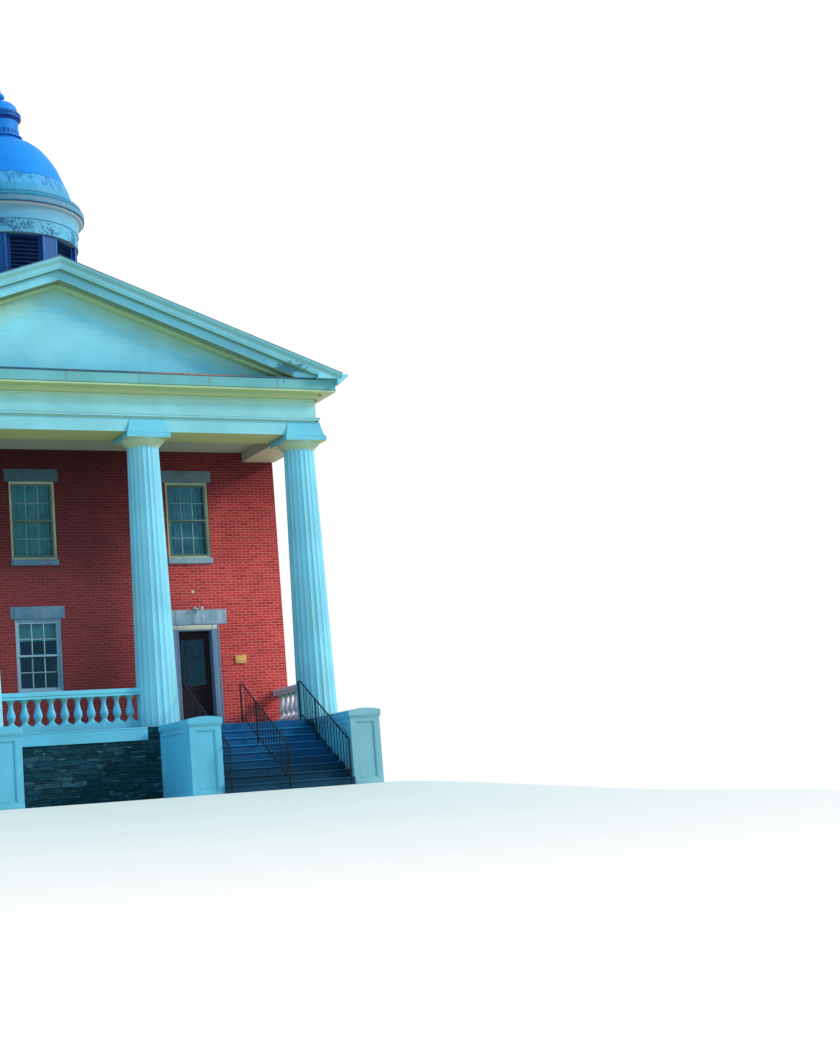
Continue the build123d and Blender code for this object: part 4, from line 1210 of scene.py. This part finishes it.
coat(tympanum_boards(), "gables")
ceiling_paint = painted("ceiling_boards", (178, 186, 162), (186, 190, 160), (90, 84, 66), 0.3, 0.25)
coat(boarded(ceiling_paint, "Y", 0.09, 0.006, (70, 70, 54)), "portico_ceiling")
# The bed mouldings are painted yellow-green: painted bounce light, as at the top of the gables.
bed_paint = painted("bed_paint", (158, 190, 150), (172, 196, 140), (90, 116, 100), 0.3, 0.4, 2.0)
# Dark olive paint for the beads under the fascias: painted shadow lines.
shadow_line_paint = painted("shadow_line_paint", (96, 120, 84), (120, 124, 70), (60, 70, 60), 0.3, 0.4, 2.0)
lead = painted("weathered_lead", (58, 96, 118), (60, 70, 70), (112, 84, 74), 0.75, 0.5, 2.2)
rusty = close_to(axes_in(lead)["X"], 2.9, 1.5, 1.9)
repainted(lead, times(rusty, noise(parts_of(lead)[1], 7.0, 5), clamp=True), (190, 134, 112))


def band(out, low, high, edge=0.004):
    """A level strip round all four sides of the building, standing that far off the beams' faces."""
    x, front, back = SIDE_FACE + out, FRONT_FACE - out, BACK_FACE + out
    sides = ((-x, front, front + 0.05), (-x, back - 0.05, back), (x - 0.05, front, back))
    parts = [board((x0, y0, low), (x, y1, high), edge, 2) for x0, y0, y1 in sides]
    return parts + [copy_of(parts[2], flip=True)]


def level_mouldings():
    """Fillets and bed mould all round, a bead under the fascia painted dark as a painted shadow line, and a
    lead flashing on top.
    """
    levels = ((0.072, 8.598, 8.62), (0.03, 8.525, 8.55), (0.03, 9.02, 9.06), (0.115, 9.13, 9.17))
    parts = [part for level in levels for part in band(*level)]
    place_piece(joined("level_mouldings", parts, 40), high_paint, "white_paint")
    place_piece(joined("shadow_line_beads", band(0.386, 9.212, 9.226), 40), shadow_line_paint, "white_paint")
    parts = []
    for face, out in ((FRONT_FACE, -1), (BACK_FACE, 1)):
        y0, y1 = sorted((face + out * 0.394, face + out * 0.3))
        parts.append(board((-6.3, y0, 9.452), (6.3, y1, 9.492), 0.006, 2))
    place_piece(joined("cornice_flashing", parts, 40), lead, "roof_metal")


def along_rake(made, foot=None):
    """Leans a level strip down the right slope of the roof, its heights being those under the ridge line."""
    leant(made, (1, 0, 0, 0), (0, 1, 0, 0), (-SLOPE, 0, 1, RIDGE_Z))
    if foot:
        mode("EDIT")
        bpy.ops.mesh.select_all(action="SELECT")
        bpy.ops.mesh.bisect(plane_co=(0, 0, foot), plane_no=(0, 0, 1), clear_inner=True, use_fill=True)
        mode("OBJECT")
    return made


def crown_strip(face, out, furthest):
    """The crown moulding of one slope of a gable: fillets and a cyma, up to that far out."""
    profile = [(0.5, -0.268), (0.524, -0.268), (0.526, -0.24), (0.533, -0.236), (0.534, -0.215),
               (0.541, -0.211), (0.543, -0.18), (0.549, -0.15), (0.559, -0.124), (0.573, -0.102),
               (0.585, -0.083), (0.592, -0.062), (0.6, -0.058), (0.6, -0.034), (0.606, -0.03), (0.606, -0.01),
               (0.5, -0.01)]
    bpy.ops.mesh.primitive_circle_add(vertices=len(profile), radius=1, fill_type="NGON")
    made = bpy.context.object
    for point, (reach, height) in zip(made.data.vertices, profile):
        point.co = (0, face + out * min(reach, furthest), height)
    mode("EDIT")
    bpy.ops.mesh.select_all(action="SELECT")
    bpy.ops.mesh.extrude_region_move(TRANSFORM_OT_translate={"value": (6.6, 0, 0)})
    bpy.ops.mesh.select_all(action="SELECT")
    bpy.ops.mesh.normals_make_consistent(inside=False)
    mode("OBJECT")
    return along_rake(made, CORNICE_Z)


def rake_mouldings():
    """On both gables: crown mouldings at the roof's edge, beads, bed mouldings and beads painted dark as
    painted shadow lines.
    """
    crowns, beads, beds, dark = [], [], [], []
    strips = ((beads, 0.345, 0.395, 6.49, -0.3, -0.275, 0.004, 2),
              (beds, -0.01, 0.2, 6.02, -0.575, -0.492, 0.02, 3),
              (dark, 0.35, 0.388, 6.02, -0.51, -0.486, 0.004, 2))
    for face, out, furthest in ((FRONT_FACE, -1, 0.606), (BACK_FACE, 1, 0.544)):
        crowns.append(crown_strip(face, out, furthest))
        for group, near, far, length, low, high, edge, steps in strips:
            y0, y1 = sorted((face + out * near, face + out * far))
            group.append(along_rake(board((0, y0, low), (length, y1, high), edge, steps), CORNICE_Z))
    for parts, name, finish in ((crowns + beads, "rake_mouldings", rake_paint),
                                (beds, "rake_bed_mouldings", bed_paint),
                                (dark, "rake_shadow_line_beads", shadow_line_paint)):
        both = parts + [copy_of(part, flip=True) for part in parts]
        place_piece(joined(name, both, 30), finish, "white_paint")


level_mouldings()
rake_mouldings()


# Roof
# Painted tin laid in trays from ridge to gutter, with standing seams between them, a rolled ridge and a
# turned-down edge over each gable's crown moulding.
def tin_roof():
    made = painted("roof_metal", (104, 134, 152), (90, 100, 90), (124, 84, 60), 0.25, 0.4, 0.6)
    shader, place, old = parts_of(made)
    run = noise(place, 1.0, 5, 0.6, (0.7, 9, 0.7))
    rust = spread(run, 0.55, 0.78, 0.0, 0.6)
    coloured(shader, blend(rust, old.outputs["Color"], (118, 82, 64)))
    shader.inputs["Metallic"].default_value = 0.3
    return made


roof_tin = tin_roof()
coat(roof_tin, "roof_right", "roof_left")


def roof_seams():
    front, back, count = FRONT_FACE - 0.54, BACK_FACE + 0.54, 26
    seam = along_rake(board((0, -0.012, -0.01), (6.61, 0.012, 0.032), 0.004))
    parts = []
    for i in range(count):
        y = front + 0.02 + (back - front - 0.04) * i / (count - 1)
        parts += [copy_of(seam, y=y), copy_of(seam, y=y, flip=True)]
    drop(seam)
    for y0, y1 in ((front - 0.075, front + 0.02), (back - 0.02, back)):
        parts += pair(along_rake(board((0, y0, -0.012), (6.62, y1, 0.004), 0.003)))
    ridge = bent_strap([(0, y, RIDGE_Z + 0.02) for y in (front, front + 4, back - 4, back)], 0.06)
    place_piece(joined("roof_seams", parts + [ridge], 40), roof_tin, "roof_metal")


roof_seams()


# Cupola drum
# A round boarded drum on a curb: eight narrow-boarded piers with louvred bays between them, under a band of
# peeling boards and a moulded cornice. Everything is timber, painted in blues.
CUPOLA_Y, DRUM_TOP, CORNICE_TOP = -2.1645, 13.45, 14.45


def round_the_cupola(place, boards):
    """How far round the cupola each point is, counted in boards."""
    x, y, _ = axes_of(place)
    turn = sums("ARCTAN2", x, minus(y, CUPOLA_Y))
    return times(turn, boards / tau)


def round_boards(made, boards, gap, dark, depth=0.006):
    """Cuts that many upright joints into a paint, all round the cupola."""
    shader, place, old = parts_of(made)
    joint = joints(round_the_cupola(place, boards), 1.0, gap)
    coloured(shader, blend(joint, old.outputs["Color"], dark))
    relief(shader, minus(old.outputs["Height"], joint), depth)
    return made


pier_paint = painted("pier_paint", (28, 88, 152), (30, 80, 130), (70, 110, 150), 0.25, 0.4)
louvre_blue = painted("louvre_blue", (12, 58, 120), (8, 28, 66), (60, 84, 110), 0.15, 0.3, 2.0)
strip_paint = painted("strip_paint", (42, 108, 178), (40, 90, 140), (90, 120, 150), 0.3, 0.4)
coat(louvre_blue, "louvres")
coat(round_boards(pier_paint, 120, 0.09, (18, 62, 118)), "drum_piers", "cupola_base")


def band_coat():
    """Pale peeling paint, worst on the lower board of the band."""
    made = painted("band_paint", (100, 180, 216), (150, 170, 170), (40, 90, 124), 0.4, 0.4, 1.6)
    height = axes_in(made)["Z"]
    link(spread(height, 13.74, 13.82, 0.86, 0.42), parts_of(made)[2].inputs["Flaking"])
    return made


def cupola_cornice_coat():
    """Pale blue, with painted bounce light making it creamy underneath and painted shade lines round it under
    its mouldings.
    """
    made = painted("cornice_paint", (46, 130, 168), (196, 200, 196), (60, 96, 124), 0.36, 0.4)
    shader, place, old = parts_of(made)
    height = axes_in(made)["Z"]
    # Painted shade: dark lines under the mouldings' projections and at the joint with the dome.
    uneven = times_plus(noise(place, 4.0, 4), 0.016, height)
    line = larger(close_to(uneven, 14.34, 0.016, 1.6), close_to(uneven, 14.452, 0.016, 1.6))
    line = larger(line, close_to(uneven, 14.176, 0.014, 1.6), clamp=True)
    coloured(shader, blend(sums("MINIMUM", line, 0.85), old.outputs["Color"], (26, 62, 104)))
    return made


band_paint = band_coat()
cornice_paint = cupola_cornice_coat()


def drum_head():
    """The band with its joint, and the cornice that carries the dome."""
    at, top = (0, CUPOLA_Y), DRUM_TOP
    boards = [(1.6, top), (1.688, top + 0.002), (1.695, top + 0.01), (1.695, 13.778), (1.69, 13.782),
              (1.69, 13.792), (1.712, 13.796), (1.717, 13.8), (1.717, 14.02), (1.724, 14.03), (1.735, 14.06),
              (1.755, 14.098), (1.755, 14.1), (1.6, 14.11)]
    body = turned(boards, 96, at)
    mouldings = [(1.6, 14.1), (1.77, 14.102), (1.8, 14.115), (1.83, 14.14), (1.842, 14.16), (1.842, 14.165),
                 (1.866, 14.17), (1.87, 14.175), (1.87, 14.25), (1.873, 14.255), (1.873, 14.315),
                 (1.866, 14.32), (1.858, 14.335), (1.835, 14.37), (1.822, 14.41), (1.815, 14.44),
                 (1.81, 14.447), (1.6, 14.45)]
    crown = turned(mouldings, 96, at)
    place_piece(named(body, "drum_band"), band_paint, "white_boards", "drum_entablature")
    place_piece(named(crown, "drum_cornice"), cornice_paint, "white_boards", "drum_entablature")


def pier_strips():
    """Slim corner boards on both edges of every pier, and a moulding round their foot."""
    front, piers, to_edge = -1.638, 8, 6.55
    strip = board((-0.022, front - 0.016, 12.46), (0.022, front + 0.02, DRUM_TOP - 0.01), 0.004, 2)
    turns = [(i + 0.5) * 360 / piers + side * to_edge for i in range(piers) for side in (-1, 1)]
    parts = [copy_of(strip, turn=radians(turn)) for turn in turns]
    drop(strip)
    made = moved(joined("pier_strips", parts, 40), 0, CUPOLA_Y)
    curb = [(1.745, 12.36), (1.752, 12.37), (1.752, 12.41), (1.735, 12.44), (1.7, 12.452), (1.6, 12.455)]
    ring = turned(curb, 96, (0, CUPOLA_Y))
    place_piece(joined("drum_strips", [made, ring]), strip_paint, "white_boards")


drum_head()
pier_strips()


# Dome and lantern
# Sheet metal on boards, painted bright blue above a paler, streaked band round its foot. On it stands a small
# round lantern with a dashed foot ring, a dark moulded cornice and a little dome drawn up into a bulb.
def dome_coat():
    """Bright blue that has worn and run to a pale ragged band round the foot, over faintly seamed sheets."""
    made = painted("dome_blue", (26, 138, 232), (40, 110, 180), (80, 160, 214), 0.14, 0.3, 0.8)
    shader, place, old = parts_of(made)
    z = axes_of(place)["Z"]
    ragged = times_plus(noise(place, 2.2, 6, 0.7), -0.26, z)
    low = times(spread(ragged, 14.86, 14.9, 1.0, 0.0), below(z, 15.5))
    repainted(made, times(low, 0.85), (88, 174, 218))
    streak = spread(noise(place, 1.0, 5, 0.7, (9, 9, 0.7)), 0.47, 0.6, 0.0, 0.9)
    worn = blend(times(low, streak), old.outputs["Color"], (44, 116, 176))
    seam = joints(round_the_cupola(place, 28), 1.0, 0.02)
    edge = times(close_to(ragged, 14.885, 0.03, 0.8), below(z, 15.5))
    line = larger(times(seam, 0.35), edge)
    coloured(shader, blend(line, worn, (24, 98, 176)))
    return made


dome_blue = dome_coat()
foot_paint = painted("foot_paint", (76, 164, 210), (60, 130, 180), (50, 104, 150), 0.36, 0.4)
lantern_paint = painted("lantern_paint", (38, 138, 226), (30, 80, 150), (30, 90, 160), 0.25, 0.4)
dark_trim = painted("dark_trim", (16, 84, 164), (16, 50, 110), (50, 100, 150), 0.3, 0.4)


def eased(points, steps):
    """A smooth line through the points, with that many steps between each two."""
    line, ends = [], [points[0]] + points + [points[-1]]
    for a, b, c, d in zip(ends, ends[1:], ends[2:], ends[3:]):
        for i in range(steps):
            t = i / steps
            line.append(tuple(0.5 * (2 * q + (r - p) * t + (2 * p - 5 * q + 4 * r - s) * t * t
                                     + (3 * q - p - 3 * r + s) * t ** 3) for p, q, r, s in zip(a, b, c, d)))
    return line + [points[-1]]


def dome():
    at, foot = (0, CUPOLA_Y), CORNICE_TOP
    curve = [(1.59, 0.26), (1.53, 0.45), (1.455, 0.63), (1.365, 0.85), (1.28, 1.05), (1.13, 1.29),
             (0.945, 1.52), (0.7, 1.71), (0.43, 1.82)]
    skin = eased([(r, foot + z) for r, z in curve], 4)
    shell = turned([(1.56, foot + 0.25)] + skin, 96, at, smooth=40)
    place_piece(named(shell, "dome_shell"), dome_blue, "dome_blue", "dome")
    boards = [(1.62, -0.01), (1.62, 0.02), (1.61, 0.03), (1.594, 0.225), (1.592, 0.262), (1.57, 0.27)]
    foot_band = turned(boards, 96, at, base=foot)
    place_piece(named(foot_band, "dome_foot"), round_boards(foot_paint, 60, 0.05, (56, 136, 190), 0.002),
                "white_boards", "dome")


def lantern():
    at, z = (0, CUPOLA_Y), 16.27
    body = [(0.4, 0.12), (0.4, 0.5), (0.404, 0.512), (0.39, 0.53)]
    skirt = [(0.45, -0.04), (0.45, 0), (0.43, 0.03), (0.432, 0.06), (0.484, 0.072), (0.487, 0.08),
             (0.487, 0.108), (0.47, 0.118), (0.41, 0.128), (0.39, 0.13)]
    crown = [(0.395, 0.5), (0.412, 0.512), (0.425, 0.53), (0.436, 0.55), (0.462, 0.567), (0.474, 0.575),
             (0.474, 0.635), (0.466, 0.642), (0.466, 0.652), (0.475, 0.66), (0.475, 0.69), (0.455, 0.71),
             (0.425, 0.74), (0.405, 0.76), (0.38, 0.765)]
    foot = [(0.395, 0.13), (0.407, 0.132), (0.407, 0.262), (0.395, 0.27)]
    for name, profile, paint in (("body", body, lantern_paint), ("skirt", skirt, lantern_paint),
                                 ("cornice", crown, dark_trim), ("foot_ring", foot, dark_trim)):
        made = turned(profile, 64, at, base=z)
        place_piece(named(made, "lantern_" + name), paint, "white_boards", "lantern")
    lath = board((-0.016, -0.415, z + 0.13), (0.016, -0.395, z + 0.268), 0.003)
    laths = [copy_of(lath, turn=radians(i * 15)) for i in range(24)]
    drop(lath)
    place_piece(moved(joined("lantern_laths", laths, 40), 0, CUPOLA_Y), lantern_paint, "white_boards")
    cap = [(0.4, 0), (0.398, 0.03), (0.385, 0.1), (0.362, 0.148), (0.325, 0.19), (0.28, 0.228), (0.225, 0.26),
           (0.165, 0.285), (0.11, 0.31), (0.08, 0.335), (0.07, 0.355), (0.088, 0.378), (0.102, 0.4),
           (0.105, 0.42), (0.102, 0.445), (0.09, 0.475), (0.07, 0.5), (0.045, 0.522), (0.025, 0.54),
           (0.016, 0.58), (0.012, 0.65)]
    bulb = turned(cap, 64, at, smooth=50, base=z + 0.76)
    place_piece(named(bulb, "lantern_cap"), lantern_paint, "dome_blue", "lantern_dome")


dome()
lantern()
